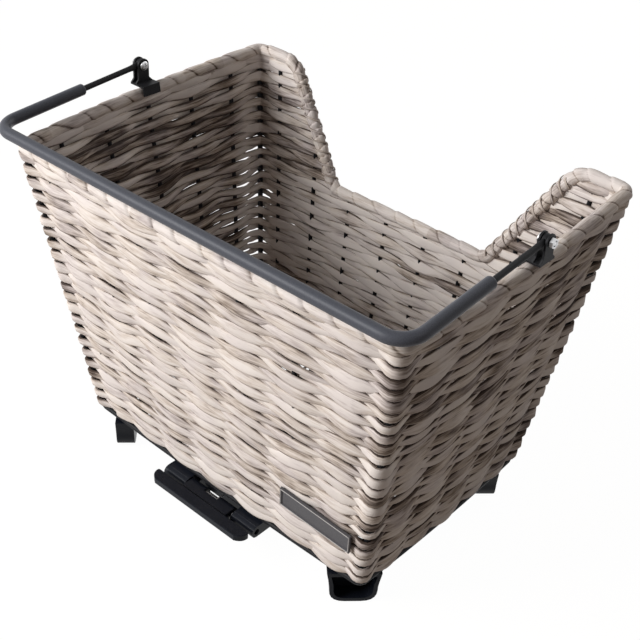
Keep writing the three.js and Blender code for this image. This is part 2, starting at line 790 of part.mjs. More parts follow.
// Half-open outline of a foot, across the corner: wide at the top and rounded below.
function footOutline(inset) {
  const half = FOOT_WIDTH / 2 - inset;
  const low = -FOOT_HEIGHT + inset;
  const high = FOOT_TOP - inset;
  const round = Math.max(FOOT_ROUND - inset, 1);
  const shape = new THREE.Shape();
  shape.moveTo(-half - FOOT_FLARE, high);
  shape.quadraticCurveTo(-half, high - round, -half, (high + low) / 2);
  shape.lineTo(-half, low + round);
  shape.quadraticCurveTo(-half, low, -half + round, low);
  shape.lineTo(half - round, low);
  shape.quadraticCurveTo(half, low, half, low + round);
  shape.lineTo(half, (high + low) / 2);
  shape.quadraticCurveTo(half, high - round, half + FOOT_FLARE, high);
  return shape;
}

function footCup() {
  const outer = frontPlate(footOutline(0), -FOOT_DEPTH / 2, FOOT_DEPTH / 2);
  const hollow = frontPlate(footOutline(FOOT_WALL), -FOOT_DEPTH / 2 + FOOT_WEB, FOOT_DEPTH);
  const boss = rodUpright(0, 0, FOOT_TOP - FOOT_WALL, FLOOR_LEVEL - GAP, FOOT_BOSS_RADIUS);
  const hole = rodUpright(
    0, 0, FLOOR_LEVEL - GAP - FOOT_SCREW_HOLD - 2 * GAP, FLOOR_LEVEL, FOOT_SCREW / 2 + GAP, 12);
  return carve([carve([outer], [hollow]), boss], [hole]);
}

// Rack adapter

const SEAT = -ADAPTER_DEPTH;
const ADAPTER_TOP = RING_BOTTOM - GAP;
const PAD_TOP = -GAP;
const ADAPTER_FRONT = -(BOTTOM_WIDTH / 2 - ADAPTER_FRONT_INSET);
const PIN_Y = -(BOTTOM_WIDTH / 2 + PIN_OUTSET);
const PIN_Z = SEAT + PIN_RISE;
const KNUCKLE_OUTER = ADAPTER_WIDTH / 2;
const RAIL_GAP = RAIL + 2 * GAP;
const CLAW_LOW = SEAT - RAIL_GAP - CLAW;
const SPRING_FAR_X = (SPRING_TURNS * SPRING_PITCH) / 2;
const SPRING_TOP = PIN_Z + SPRING_RADIUS;

function rackAdapter() {
  const half = ADAPTER_WIDTH / 2;
  const plate = slab(
    roundedRectangle(-half, ADAPTER_FRONT, half, ADAPTER_REAR, ADAPTER_CORNER), SEAT, ADAPTER_TOP);
  const ringInner = BOTTOM_WIDTH / 2 - MIDDLE - BASE_WIRE / 2;
  const pad = slab(
    roundedRectangle(-half + PAD_INSET, -ringInner + PAD_INSET, half - PAD_INSET,
      ADAPTER_REAR - PAD_INSET, ADAPTER_CORNER), ADAPTER_TOP - 2, PAD_TOP);
  const parts = [plate, pad];
  const cuts = [];
  for (const side of [-1, 1]) {
    const near = Math.min(side * KNUCKLE_INNER, side * KNUCKLE_OUTER);
    const wide = Math.max(side * KNUCKLE_INNER, side * KNUCKLE_OUTER);
    parts.push(rodAlongX(near, wide, PIN_Y, PIN_Z, KNUCKLE_RADIUS));
    parts.push(boxBetween(
      [near, PIN_Y, SEAT], [wide, ADAPTER_FRONT + ADAPTER_CORNER, ADAPTER_TOP - GAP]));
    cuts.push(rodAlongX(near - 1, wide + 1, PIN_Y, PIN_Z, PIN / 2 + GAP, 12));
    const clawX = (side * CLAW_SPACING) / 2;
    parts.push(boxBetween(
      [clawX - CLAW_WIDTH / 2, ADAPTER_REAR - CLAW * 2, CLAW_LOW],
      [clawX + CLAW_WIDTH / 2, ADAPTER_REAR - CLAW, SEAT + CLAW]));
    parts.push(boxBetween(
      [clawX - CLAW_WIDTH / 2, ADAPTER_REAR - CLAW * 2 - RAIL, CLAW_LOW],
      [clawX + CLAW_WIDTH / 2, ADAPTER_REAR - CLAW, CLAW_LOW + CLAW]));
  }
  for (const [x, y] of screwPlaces) {
    cuts.push(rodUpright(x, y, PAD_TOP - ADAPTER_SCREW_HOLD - 2 * GAP, 1, ADAPTER_SCREW / 2 + GAP, 12));
  }
  cuts.push(boxBetween(
    [SPRING_FAR_X - SPRING_WIRE, ADAPTER_FRONT - 1, SPRING_TOP - SPRING_WIRE / 2 - GAP],
    [SPRING_FAR_X + SPRING_WIRE, PIN_Y + SPRING_FAR_LEG + SPRING_WIRE, ADAPTER_TOP + 1]));
  return carve(parts, cuts);
}

// Release lever

function releaseLever() {
  const armTop = SPRING_TOP - SPRING_WIRE / 2 - GAP;
  const barFront = PIN_Y - BAR_REACH;
  const barBack = barFront + BAR_WIDTH;
  const barTop = PIN_Z + BAR_RISE;
  const bar = new THREE.Shape();
  bar.moveTo(-BAR_LENGTH / 2 + BAR_TAPER, barFront);
  bar.lineTo(BAR_LENGTH / 2 - BAR_TAPER, barFront);
  bar.quadraticCurveTo(BAR_LENGTH / 2, barFront + BAR_WIDTH * 0.3, BAR_LENGTH / 2, barBack - 2);
  bar.quadraticCurveTo(BAR_LENGTH / 2, barBack, BAR_LENGTH / 2 - 2, barBack);
  bar.lineTo(-BAR_LENGTH / 2 + 2, barBack);
  bar.quadraticCurveTo(-BAR_LENGTH / 2, barBack, -BAR_LENGTH / 2, barBack - 2);
  bar.quadraticCurveTo(
    -BAR_LENGTH / 2, barFront + BAR_WIDTH * 0.3, -BAR_LENGTH / 2 + BAR_TAPER, barFront);
  const arm = new THREE.Shape();
  arm.moveTo(-BARREL_HALF - ARM_FLARE, barBack - 2);
  arm.lineTo(BARREL_HALF + ARM_FLARE, barBack - 2);
  arm.lineTo(BARREL_HALF, PIN_Y - BARREL_RADIUS / 2);
  arm.lineTo(BARREL_HALF, PIN_Y);
  arm.lineTo(-BARREL_HALF, PIN_Y);
  arm.lineTo(-BARREL_HALF, PIN_Y - BARREL_RADIUS / 2);
  const parts = [
    slab(arm, armTop - ARM_THICKNESS, armTop),
    slab(bar, barTop - BAR_THICKNESS, barTop),
    rodAlongX(-BARREL_HALF, BARREL_HALF, PIN_Y, PIN_Z, BARREL_RADIUS),
    boxBetween([-BARREL_HALF, barBack - 1, PIN_Z], [BARREL_HALF, PIN_Y, PIN_Z + BARREL_RADIUS]),
  ];
  for (const side of [-1, 1]) {
    const middle = side * (BARREL_HALF - HOOK_WIDTH / 2);
    parts.push(boxBetween(
      [middle - HOOK_WIDTH / 2, PIN_Y - HOOK_STEM / 2, CLAW_LOW],
      [middle + HOOK_WIDTH / 2, PIN_Y + HOOK_STEM / 2, PIN_Z]));
    parts.push(boxBetween(
      [middle - HOOK_WIDTH / 2, PIN_Y, CLAW_LOW],
      [middle + HOOK_WIDTH / 2, PIN_Y + HOOK_STEM / 2 + HOOK_REACH, CLAW_LOW + CLAW]));
  }
  const slot = SPRING_FAR_X + SPRING_WIRE;
  const slotReach = SPRING_RADIUS + SPRING_WIRE;
  const slotTop = SPRING_TOP + SPRING_WIRE / 2 + GAP;
  const cuts = [
    boxBetween([-slot, PIN_Y - slotReach, PIN_Z - 2 * BARREL_RADIUS], [slot, PIN_Y, slotTop]),
    boxBetween([-slot, PIN_Y - SPRING_LEG - SPRING_WIRE, armTop], [slot, PIN_Y, slotTop]),
    boxBetween([-slot, PIN_Y - COVER_LIP, PIN_Z - 2 * BARREL_RADIUS],
      [slot, PIN_Y + 2 * BARREL_RADIUS, PIN_Z + 2 * BARREL_RADIUS]),
    rodAlongX(-BARREL_HALF - 1, BARREL_HALF + 1, PIN_Y, PIN_Z, PIN / 2 + GAP, 12),
  ];
  return carve(parts, cuts);
}

// Torsion spring: a leg on the arm, the turns round the pin and a leg in the adapter's notch.
function springRoute() {
  const route = [new THREE.Vector3(-SPRING_FAR_X, PIN_Y - SPRING_LEG, SPRING_TOP)];
  const steps = 8 * SPRING_TURNS;
  for (let k = 0; k <= steps; k += 1) {
    const angle = (2 * Math.PI * SPRING_TURNS * k) / steps;
    route.push(new THREE.Vector3(
      -SPRING_FAR_X + (2 * SPRING_FAR_X * k) / steps,
      PIN_Y + SPRING_RADIUS * Math.sin(angle), PIN_Z + SPRING_RADIUS * Math.cos(angle)));
  }
  route.push(new THREE.Vector3(SPRING_FAR_X, PIN_Y + SPRING_FAR_LEG, SPRING_TOP));
  return route;
}

// Least gap between two stretches of the spring that are more than half a turn apart.
function leastSpringGap(route) {
  const fine = [];
  for (let k = 0; k + 1 < route.length; k += 1) {
    for (let j = 0; j < 6; j += 1) fine.push({ k: k + j / 6, at: route[k].clone().lerp(route[k + 1], j / 6) });
  }
  let least = Infinity;
  for (const a of fine) {
    for (const b of fine) {
      if (b.k - a.k > 4) least = Math.min(least, a.at.distanceTo(b.at) - SPRING_WIRE);
    }
  }
  return least;
}

const spring = springRoute();
console.log(`least gap in the spring: ${leastSpringGap(spring).toFixed(2)} mm`);

// Bail: the rod bent to a U, its eyes, and the grip round the near run and both corners

const rimAtSide = rim.reduce((best, point) => (
  point.place.x > 0 && Math.abs(point.place.y) < Math.abs(best.place.y) ? point : best));
const PIVOT_LEVEL = rimTop(0) + PIVOT_RISE;
const PIVOT_X = rimAtSide.place.x + MIDDLE + ARM_OUTSET;
const REACH_Y = TOP_WIDTH / 2 + TOP_BOW + GRIP_OVERHANG;
const BAIL_DROP = PIVOT_LEVEL - (NEAR_HEIGHT + GRIP_REST_GAP + GRIP / 2);
const BAIL_REACH = Math.hypot(REACH_Y, BAIL_DROP);
const BAIL_REST_ANGLE = Math.atan2(BAIL_DROP, REACH_Y);

// The bail lies in the plane z = 0 of its own frame, with the pivot axis along X at y = 0.
function bailRoute(startY) {
  return roundRoute([
    new THREE.Vector3(-PIVOT_X, -startY, 0), new THREE.Vector3(-PIVOT_X, -BAIL_REACH, 0),
    new THREE.Vector3(PIVOT_X, -BAIL_REACH, 0), new THREE.Vector3(PIVOT_X, -startY, 0),
  ], [BAIL_BEND, BAIL_BEND], 8);
}

function bailRod() {
  const parts = [tube(bailRoute(EYE_NECK - 3), polygon(10, BAIL_ROD / 2))];
  const cuts = [];
  for (const side of [-1, 1]) {
    const eye = new THREE.Shape();
    eye.moveTo(-EYE_NECK, -BAIL_ROD / 2);
    eye.lineTo(0, -EYE_RADIUS);
    eye.absarc(0, 0, EYE_RADIUS, -Math.PI / 2, Math.PI / 2, false);
    eye.lineTo(-EYE_NECK, BAIL_ROD / 2);
    const middle = side * PIVOT_X;
    parts.push(sidePlate(eye, middle - EYE_THICKNESS / 2, middle + EYE_THICKNESS / 2));
    cuts.push(rodAlongX(middle - EYE_THICKNESS, middle + EYE_THICKNESS, 0, 0, PIVOT_SCREW / 2 + GAP, 12));
  }
  return carve(parts, cuts);
}

function bailGrip() {
  const bore = (BAIL_ROD / 2 + GAP) / Math.cos(Math.PI / 10);
  return tube(bailRoute(GRIP_START), polygon(12, GRIP / 2), [polygon(10, bore)]);
}

const bail = new THREE.Group();
bail.position.z = PIVOT_LEVEL;
bail.rotation.x = BAIL_REST_ANGLE;
bail.add(piece("bail_rod", bailRod(), "wire"), piece("bail_grip", bailGrip(), "grip"));

// Bail brackets: two ears on a saddle that rests on the rim, with a leg down the inside

const EAR_INNER = EYE_THICKNESS / 2 + EAR_CLEARANCE;
const EAR_OUTER = EAR_INNER + EAR;
const SADDLE_LEVEL = rimTop(BRACKET_FOOT_WIDTH / 2) + GAP;

// Right-hand bracket in the frame of its pivot, with the basket's inside towards -X.
function bracketBody() {
  const saddleZ = SADDLE_LEVEL - PIVOT_LEVEL;
  const rimX = rimAtSide.place.x - PIVOT_X;
  const earShape = new THREE.Shape();
  earShape.moveTo(-BRACKET_FOOT_WIDTH / 2, saddleZ);
  earShape.lineTo(BRACKET_FOOT_WIDTH / 2, saddleZ);
  earShape.lineTo(BRACKET_FOOT_WIDTH / 2, saddleZ + EAR);
  earShape.lineTo(EAR_RADIUS, saddleZ + 3 * EAR);
  earShape.lineTo(EAR_RADIUS, 0);
  earShape.absarc(0, 0, EAR_RADIUS, 0, Math.PI, false);
  earShape.lineTo(-EAR_RADIUS, saddleZ + 3 * EAR);
  earShape.lineTo(-BRACKET_FOOT_WIDTH / 2, saddleZ + EAR);
  const legOuter = rimX - MIDDLE - GAP;
  const halfFoot = BRACKET_FOOT_WIDTH / 2;
  const saddle = boxBetween([legOuter - EAR, -halfFoot, saddleZ], [EAR_OUTER, halfFoot, saddleZ + EAR]);
  const leg = boxBetween([-EAR, -halfFoot, -BRACKET_LEG], [0, halfFoot, EAR]);
  const lean = Math.atan((TOP_LENGTH - BOTTOM_LENGTH) / 2 / NEAR_HEIGHT);
  leg.rotateY(lean).translate(legOuter, 0, saddleZ);
  const parts = [
    sidePlate(earShape, -EAR_OUTER, -EAR_INNER), sidePlate(earShape, EAR_INNER, EAR_OUTER), saddle, leg,
  ];
  return carve(parts, [rodAlongX(-2 * EAR_OUTER, 2 * EAR_OUTER, 0, 0, PIVOT_SCREW / 2 + GAP, 12)]);
}

// The head is on the basket's inside, and the shank ends flush with the nut.
function pivotScrew() {
  const length = 2 * EAR_OUTER + 2 * GAP + PIVOT_NUT;
  const screw = panScrew(PIVOT_SCREW, length, PIVOT_HEAD_RADIUS, PIVOT_HEAD);
  return screw.rotateY(-Math.PI / 2).translate(-EAR_OUTER - GAP, 0, 0);
}

function pivotNut() {
  const nut = rodAlongX(
    EAR_OUTER + GAP, EAR_OUTER + GAP + PIVOT_NUT, 0, 0, PIVOT_NUT_RADIUS, 6);
  const bore = rodAlongX(0, 4 * EAR_OUTER, 0, 0, PIVOT_SCREW / 2 + GAP, 12);
  return carve([nut], [bore]);
}

function bracketGroup(side) {
  const group = new THREE.Group();
  const right = side === "right";
  group.position.set(right ? PIVOT_X : -PIVOT_X, 0, PIVOT_LEVEL);
  group.rotation.z = right ? 0 : Math.PI;
  group.add(
    piece(`bail_bracket_${side}`, bracketBody(), "wire"),
    piece(`pivot_screw_${side}`, pivotScrew(), "steel"),
    piece(`pivot_nut_${side}`, pivotNut(), "steel"));
  return group;
}

// Assembly

const basket = new THREE.Group();
basket.position.z = ADAPTER_DEPTH;
basket.add(
  piece("woven_walls", wovenWalls(), "weave"),
  piece("woven_floor", floorPanel(), "weave"),
  piece("rim_binding", rimBinding, "weave"),
  piece("rim_wire", rimWire, "wire"),
  piece("base_ring", baseRing, "wire"),
  piece("clamp_plate", clampPlate(), "wire"),
  piece("rack_adapter", rackAdapter(), "moulding"),
  piece("release_lever", releaseLever(), "moulding"),
  piece("lever_pin", rodAlongX(
    -KNUCKLE_OUTER + PIN_RECESS, KNUCKLE_OUTER - PIN_RECESS, PIN_Y, PIN_Z, PIN / 2, 12), "steel"),
  piece("lever_spring", tube(spring, polygon(5, SPRING_WIRE / 2)), "steel"));

for (const [wall, stakes] of [["near", nearStakes], ["far", farStakes]]) {
  stakes.forEach(({ foot, tip }, k) => {
    basket.add(piece(`${wall}_stake_${k + 1}`, rodBetween(foot, tip, STAKE / 2, 6), "wire"));
  });
}
for (const { name, foot, tip } of posts) {
  basket.add(piece(`corner_post_${name}`, rodBetween(foot, tip, CORNER_POST / 2, 6), "wire"));
}
hoops.forEach(({ route }, k) => {
  basket.add(piece(`side_hoop_${k + 1}`, tube(route, polygon(6, STAKE / 2)), "wire"));
});

const adapterScrewLength = CLAMP_TOP + GAP - (PAD_TOP - ADAPTER_SCREW_HOLD);
screwPlaces.forEach(([x, y], k) => {
  const screw = piece(`adapter_screw_${k + 1}`,
    panScrew(ADAPTER_SCREW, adapterScrewLength, ADAPTER_SCREW * 0.95, ADAPTER_SCREW * 0.55), "steel");
  screw.position.set(x, y, CLAMP_TOP + GAP);
  basket.add(screw);
});

const footScrewLength = FLOOR + 2 * GAP + FOOT_SCREW_HOLD;
for (const { name, x, y, turn } of footPlaces) {
  const foot = piece(`foot_${name}`, footCup(), "moulding");
  foot.position.set(x, y, 0);
  foot.rotation.z = turn;
  const screw = piece(`foot_screw_${name}`,
    panScrew(FOOT_SCREW, footScrewLength, FOOT_SCREW * 0.95, FOOT_SCREW * 0.6), "steel");
  screw.position.set(x, y, FLOOR_TOP + GAP);
  basket.add(foot, screw);
}

badgeFrame.add(piece("badge_plate", badgePlate(), "badge"));
basket.add(badgeFrame, bail, bracketGroup("left"), bracketGroup("right"));

const part = new THREE.Group();
part.add(basket);

export default part;
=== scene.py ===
import math

import bmesh
import bpy
import numpy as np
from mathutils import Matrix, Vector


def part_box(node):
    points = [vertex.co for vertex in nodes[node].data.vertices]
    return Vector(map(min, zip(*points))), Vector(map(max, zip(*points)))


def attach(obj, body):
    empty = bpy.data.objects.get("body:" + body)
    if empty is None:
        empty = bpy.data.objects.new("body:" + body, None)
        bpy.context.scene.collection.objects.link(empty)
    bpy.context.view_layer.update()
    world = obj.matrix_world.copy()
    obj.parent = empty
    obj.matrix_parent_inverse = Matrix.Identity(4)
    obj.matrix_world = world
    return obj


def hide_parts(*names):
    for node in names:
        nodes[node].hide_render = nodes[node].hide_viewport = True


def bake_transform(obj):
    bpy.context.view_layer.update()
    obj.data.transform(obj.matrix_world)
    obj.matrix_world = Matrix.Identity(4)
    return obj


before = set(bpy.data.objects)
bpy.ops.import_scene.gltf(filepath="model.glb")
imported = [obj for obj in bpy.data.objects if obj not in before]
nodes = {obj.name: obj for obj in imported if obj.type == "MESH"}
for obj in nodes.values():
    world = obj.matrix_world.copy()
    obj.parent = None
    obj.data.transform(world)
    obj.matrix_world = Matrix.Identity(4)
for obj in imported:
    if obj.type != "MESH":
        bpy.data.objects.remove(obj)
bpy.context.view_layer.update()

# Wire frame: drawn steel wire, butt-welded and powder-coated black. A ring runs round the bottom,
# thin uprights climb the two long walls, five hoops pass down one short wall, under the floor and
# up the other, and a thicker post stands in each corner. Lengths are in metres.

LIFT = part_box("woven_walls")[0].z
NEAR_RIM = 0.261
FAR_RIM = 0.274
HALF_TOP = (0.200, 0.141)
HALF_BOTTOM = (0.1625, 0.110)
BOW_BOTTOM, BOW_TOP = 0.002, 0.005
CORNER_RADIUS = 0.012
BINDING_RADIUS = 0.00575
WALL_SAMPLES = 400
CORNER_SAMPLES = 60
RING_RADIUS = 0.0025
RING_LEVEL = -0.0028
POST_RADIUS = 0.0025
STAKE_RADIUS = 0.002
HOOP_BEND = 0.007
WIRE_SIDES = 14
NEAR_UPRIGHTS, NEAR_REACH = 7, 0.162
FAR_UPRIGHTS, FAR_REACH = 8, 0.168
SIDE_UPRIGHTS, SIDE_REACH = 5, 0.098


def wall_sizes(height):
    """Half the basket's length, half its width and the walls' bow at a height over the weave's bottom
    edge, each growing evenly from the bottom edge to the near rim."""
    sizes = zip((*HALF_BOTTOM, BOW_BOTTOM), (*HALF_TOP, BOW_TOP))
    return [low + (high - low) * (height / NEAR_RIM) for low, high in sizes]


def wall_outline(height):
    """The walls' middle line at a height over the weave's bottom edge, from the near wall's left
    end and anticlockwise: walls with a shallow parabolic bow, and arcs at the corners."""
    half_x, half_y, bow = wall_sizes(height)
    run_x, run_y = half_x - CORNER_RADIUS, half_y - CORNER_RADIUS
    share = np.linspace(-1, 1, WALL_SAMPLES + 1)[:-1]
    turn = np.radians(np.linspace(0, 90, CORNER_SAMPLES + 1)[:-1])
    swell = bow * (1 - share**2) - BINDING_RADIUS
    arc = CORNER_RADIUS - BINDING_RADIUS
    near = np.stack([share * run_x, -half_y - swell], 1)
    near_corner = np.stack([run_x + arc * np.sin(turn), -run_y - arc * np.cos(turn)], 1)
    right = np.stack([half_x + swell, share * run_y], 1)
    far_corner = np.stack([run_x + arc * np.cos(turn), run_y + arc * np.sin(turn)], 1)
    half = np.concatenate([near, near_corner, right, far_corner])
    return np.concatenate([half, -half])


outline_low = wall_outline(0.0)
outline_high = wall_outline(NEAR_RIM)
outline_mid = (outline_low + outline_high) / 2
outline_tangent = np.roll(outline_mid, -3, 0) - np.roll(outline_mid, 3, 0)
outline_tangent /= np.linalg.norm(outline_tangent, axis=1)[:, None]
outline_step = np.linalg.norm(np.diff(outline_mid, axis=0, append=outline_mid[:1]), axis=1)
outline_run = np.concatenate([[0], np.cumsum(outline_step)])
girth = outline_run[-1]

# Where each upright stands on the outline: evenly spaced in each wall, out to the wall's reach from
# its middle, and a post in the middle of each corner. All are counted from the near wall's left end.
near_share = np.linspace(-NEAR_REACH, NEAR_REACH, NEAR_UPRIGHTS) / (HALF_TOP[0] - CORNER_RADIUS)
far_share = np.linspace(-FAR_REACH, FAR_REACH, FAR_UPRIGHTS) / (HALF_TOP[0] - CORNER_RADIUS)
side_share = np.linspace(-SIDE_REACH, SIDE_REACH, SIDE_UPRIGHTS) / (HALF_TOP[1] - CORNER_RADIUS)
span = WALL_SAMPLES + CORNER_SAMPLES
upright_index = np.concatenate([
    np.append((share + 1) * WALL_SAMPLES / 2, WALL_SAMPLES + CORNER_SAMPLES / 2) + k * span
    for k, share in enumerate([near_share, side_share, far_share, side_share])])
upright_run = np.interp(upright_index, np.arange(len(outline_run)), outline_run)
UPRIGHTS = len(upright_run)
POSTS = dict(zip(
    ("near_right", "far_right", "far_left", "near_left"),
    np.cumsum([NEAR_UPRIGHTS, SIDE_UPRIGHTS + 1, FAR_UPRIGHTS + 1, SIDE_UPRIGHTS + 1]).tolist()))


def wall_frame(run, height):
    """Points of the walls' middle surface, with the unit directions along, up and out of the wall.
    run is the distance round the basket and height the level over the weave's bottom edge."""
    def around(table):
        closed = np.concatenate([table, table[:1]])
        return np.stack([np.interp(run % girth, outline_run, closed[:, k]) for k in (0, 1)], -1)
    low, high = around(outline_low), around(outline_high)
    level = height[..., None]
    place = np.concatenate([low + (high - low) * level / NEAR_RIM, level + LIFT], -1)
    along = np.concatenate([around(outline_tangent), np.zeros_like(level)], -1)
    along /= np.linalg.norm(along, axis=-1)[..., None]
    up = np.concatenate([(high - low) / NEAR_RIM, np.ones_like(level)], -1)
    up /= np.linalg.norm(up, axis=-1)[..., None]
    return place, along, up, np.cross(along, up)


def add_object(name, data):
    """A new object of the scene for a mesh, a lamp or a camera."""
    thing = bpy.data.objects.new(name, data)
    bpy.context.scene.collection.objects.link(thing)
    return thing


def grid_piece(name, grids, closed=False, uv=None, tone=None, edge=None):
    """A mesh piece from grids of points (rows, columns, 3). Each row of points is a ring round the
    piece. Rows are joined to the next, a closed grid's last row to its first, and an open grid's two
    end rings are filled by flat faces. uv is each row's length, tone its shade, and edge says how dark
    the painted shade at the edges is at each point: 0 is none, and below 0 is a painted highlight."""
    faces, corner_uv, start = [], [], 0
    for k, grid in enumerate(grids):
        rows, columns = grid.shape[:2]
        i, j = (part.ravel() for part in np.indices((rows if closed else rows - 1, columns)))
        below, above, after = i * columns, (i + 1) % rows * columns, (j + 1) % columns
        quads = np.stack([below + j, below + after, above + after, above + j], 1) + start
        faces += quads.tolist()
        if uv is not None:
            a, b, left, right = uv[k][i], uv[k][i + 1], j / columns, (j + 1) / columns
            corner_uv.append(np.stack([a, left, a, right, b, right, b, left], 1).reshape(-1, 2))
        if not closed:
            ring = np.arange(columns) + start
            faces += [ring[::-1].tolist(), (ring + (rows - 1) * columns).tolist()]
            if uv is not None:
                corner_uv += [np.tile([[uv[k][end], 0.5]], (columns, 1)) for end in (0, rows - 1)]
        start += rows * columns
    mesh = bpy.data.meshes.new(name)
    mesh.from_pydata(np.concatenate([grid.reshape(-1, 3) for grid in grids]).tolist(), [], faces)
    if uv is not None:
        layer = mesh.uv_layers.new(name="UVMap")
        layer.data.foreach_set("uv", np.concatenate(corner_uv).ravel().astype(np.float32))
    if tone is not None:
        shades = [np.repeat(shade, grid.shape[1]) for shade, grid in zip(tone, grids)]
        edges = [np.broadcast_to(dark, grid.shape[:2]).ravel() for dark, grid in zip(edge, grids)]
        for attribute, values in (("tone", shades), ("edge", edges)):
            layer = mesh.attributes.new(attribute, "FLOAT", "POINT")
            layer.data.foreach_set("value", np.concatenate(values).astype(np.float32))
    mesh.shade_smooth()
    mesh.set_sharp_from_angle(angle=math.radians(50))
    return add_object(name, mesh)


def tube_rings(path, reference, radius, sides, closed=False):
    """Rings of a round tube. Each point of the path gets a circle spanned by two directions:
    sideways, which is along x reference, and upward, which is sideways x along."""
    along = np.roll(path, -1, 0) - np.roll(path, 1, 0) if closed else np.gradient(path, axis=0)
    along /= np.linalg.norm(along, axis=1)[:, None]
    sideways = np.cross(along, reference)
    sideways /= np.linalg.norm(sideways, axis=1)[:, None]
    upward = np.cross(sideways, along)
    angle = np.linspace(0, 2 * np.pi, sides, endpoint=False)[:, None]
    reach = np.broadcast_to(radius, len(path))[:, None, None]
    circle = upward[:, None] * np.cos(angle) + sideways[:, None] * np.sin(angle)
    return path[:, None] + reach * circle


def rounded(corners, radii, samples=10):
    """A line through corner points, with each inner corner replaced by an arc of its radius. The
    arc turns evenly from its first point to its last about the middle that both are a radius from."""
    line = [corners[0]]
    for before, corner, after, radius in zip(corners, corners[1:], corners[2:], radii):
        back = (before - corner) / np.linalg.norm(before - corner)
        onward = (after - corner) / np.linalg.norm(after - corner)
        half = np.arccos(back @ onward) / 2
        middle = corner + (back + onward) / np.linalg.norm(back + onward) * radius / np.sin(half)
        first = corner + back * radius / np.tan(half) - middle
        last = corner + onward * radius / np.tan(half) - middle
        turn = np.arccos(first @ last / radius**2)
        part = np.linspace(0, 1, samples)[:, None]
        arc = (first * np.sin((1 - part) * turn) + last * np.sin(part * turn)) / np.sin(turn)
        line.extend(middle + arc)
    return np.array(line + [corners[-1]])


def run_along(points):
    """The distance from a line's first point to each of its points, along the line."""
    return np.concatenate([[0], np.cumsum(np.linalg.norm(np.diff(points, axis=0), axis=1))])


def resample(line, spacing):
    """The same open line, whose first three columns are its place, with evenly spaced points."""
    run_of = run_along(line[:, :3])
    even = np.linspace(0, run_of[-1], int(run_of[-1] / spacing) + 1)
    return np.stack([np.interp(even, run_of, column) for column in line.T], 1)


def new_finish(name, roughness, metallic=0.0):
    """A Principled finish with even roughness and metallic values, its node tree and its shader."""
    finish = bpy.data.materials.new(name)
    finish.use_nodes = True
    surface = finish.node_tree.nodes["Principled BSDF"]
    surface.inputs["Roughness"].default_value = roughness
    surface.inputs["Metallic"].default_value = metallic
    return finish, finish.node_tree, surface


def add_node(tree, kind, values=(), **settings):
    """A shader node with its settings and the given inputs, each (input, value or socket)."""
    node = tree.nodes.new(kind)
    for name, value in settings.items():
        setattr(node, name, value)
    for name, value in values:
        if isinstance(value, bpy.types.NodeSocket):
            tree.links.new(value, node.inputs[name])
        else:
            node.inputs[name].default_value = value
    return node


def add_ramp(tree, factor, stops):
    """A colour ramp through the given (position, colour) stops."""
    ramp = add_node(tree, "ShaderNodeValToRGB", [("Fac", factor)])
    elements = ramp.color_ramp.elements
    while len(elements) < len(stops):
        elements.new(0.5)
    for element, (position, colour) in zip(elements, stops):
        element.position = position
        element.color = (*colour, 1)
    return ramp.outputs["Color"]


def add_noise(tree, vector, scale, detail=3, roughness=0.5):
    """A noise value over the given coordinates."""
    noise = add_node(tree, "ShaderNodeTexNoise", [
        ("Vector", vector), ("Scale", scale), ("Detail", detail), ("Roughness", roughness)])
    return noise.outputs["Fac"]


def add_bump(tree, surface, height, strength, depth):
    """Raises a surface's normal by a height value."""
    bump = add_node(tree, "ShaderNodeBump", [
        ("Height", height), ("Strength", strength), ("Distance", depth)])
    tree.links.new(bump.outputs["Normal"], surface.inputs["Normal"])


def coated_finish(name, dark, light, roughness, grain, depth):
    """Powder coat or moulded plastic: a fine grain raises the surface a little and shifts its
    colour between two close tones, and a broad noise, a wave every few centimetres, varies the
    gloss."""
    finish, tree, surface = new_finish(name, roughness)
    place = add_node(tree, "ShaderNodeTexCoord").outputs["Object"]
    fine = add_noise(tree, place, grain)
    tree.links.new(add_ramp(tree, fine, [(0.3, dark), (0.7, light)]), surface.inputs["Base Color"])
    broad = add_noise(tree, place, 28, 2)
    gloss = add_node(tree, "ShaderNodeMapRange", [
        ("Value", broad), ("To Min", roughness - 0.07), ("To Max", roughness + 0.09)])
    tree.links.new(gloss.outputs["Result"], surface.inputs["Roughness"])
    add_bump(tree, surface, fine, 0.5, depth)
    surface.inputs["Specular IOR Level"].default_value = 0.12
    return finish


def dress(piece, finish, body, slot, *replaced):
    """Gives a piece its finish, attaches it to its body unless it has none, and hides the nodes it
    stands for. slot is not used."""
    piece.data.materials.clear()
    piece.data.materials.append(finish)
    if body:
        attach(piece, body)
    if replaced:
        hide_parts(*replaced)
    return piece


def upright(name, index, radius, foot_level, tip_level):
    """A straight wire in the wall's middle surface at an outline index, between two levels."""
    run = np.full(2, np.interp(index, np.arange(len(outline_run)), outline_run))
    ends, along, _, _ = wall_frame(run, np.array([foot_level, tip_level]) - LIFT)
    return grid_piece(name, [tube_rings(ends, along, radius, WIRE_SIDES)])


wire_coating = coated_finish(
    "wire_coating", (0.006, 0.006, 0.007), (0.014, 0.014, 0.016), 0.5, 900, 0.00006)

ring_outline = wall_outline(RING_LEVEL)[::4]
ring_path = np.column_stack([ring_outline, np.full(len(ring_outline), RING_LEVEL + LIFT)])
ring_rings = tube_rings(ring_path, (0, 0, 1), RING_RADIUS, WIRE_SIDES, True)
dress(grid_piece("bottom_ring", [ring_rings], closed=True), wire_coating, "basket", "wire", "base_ring")

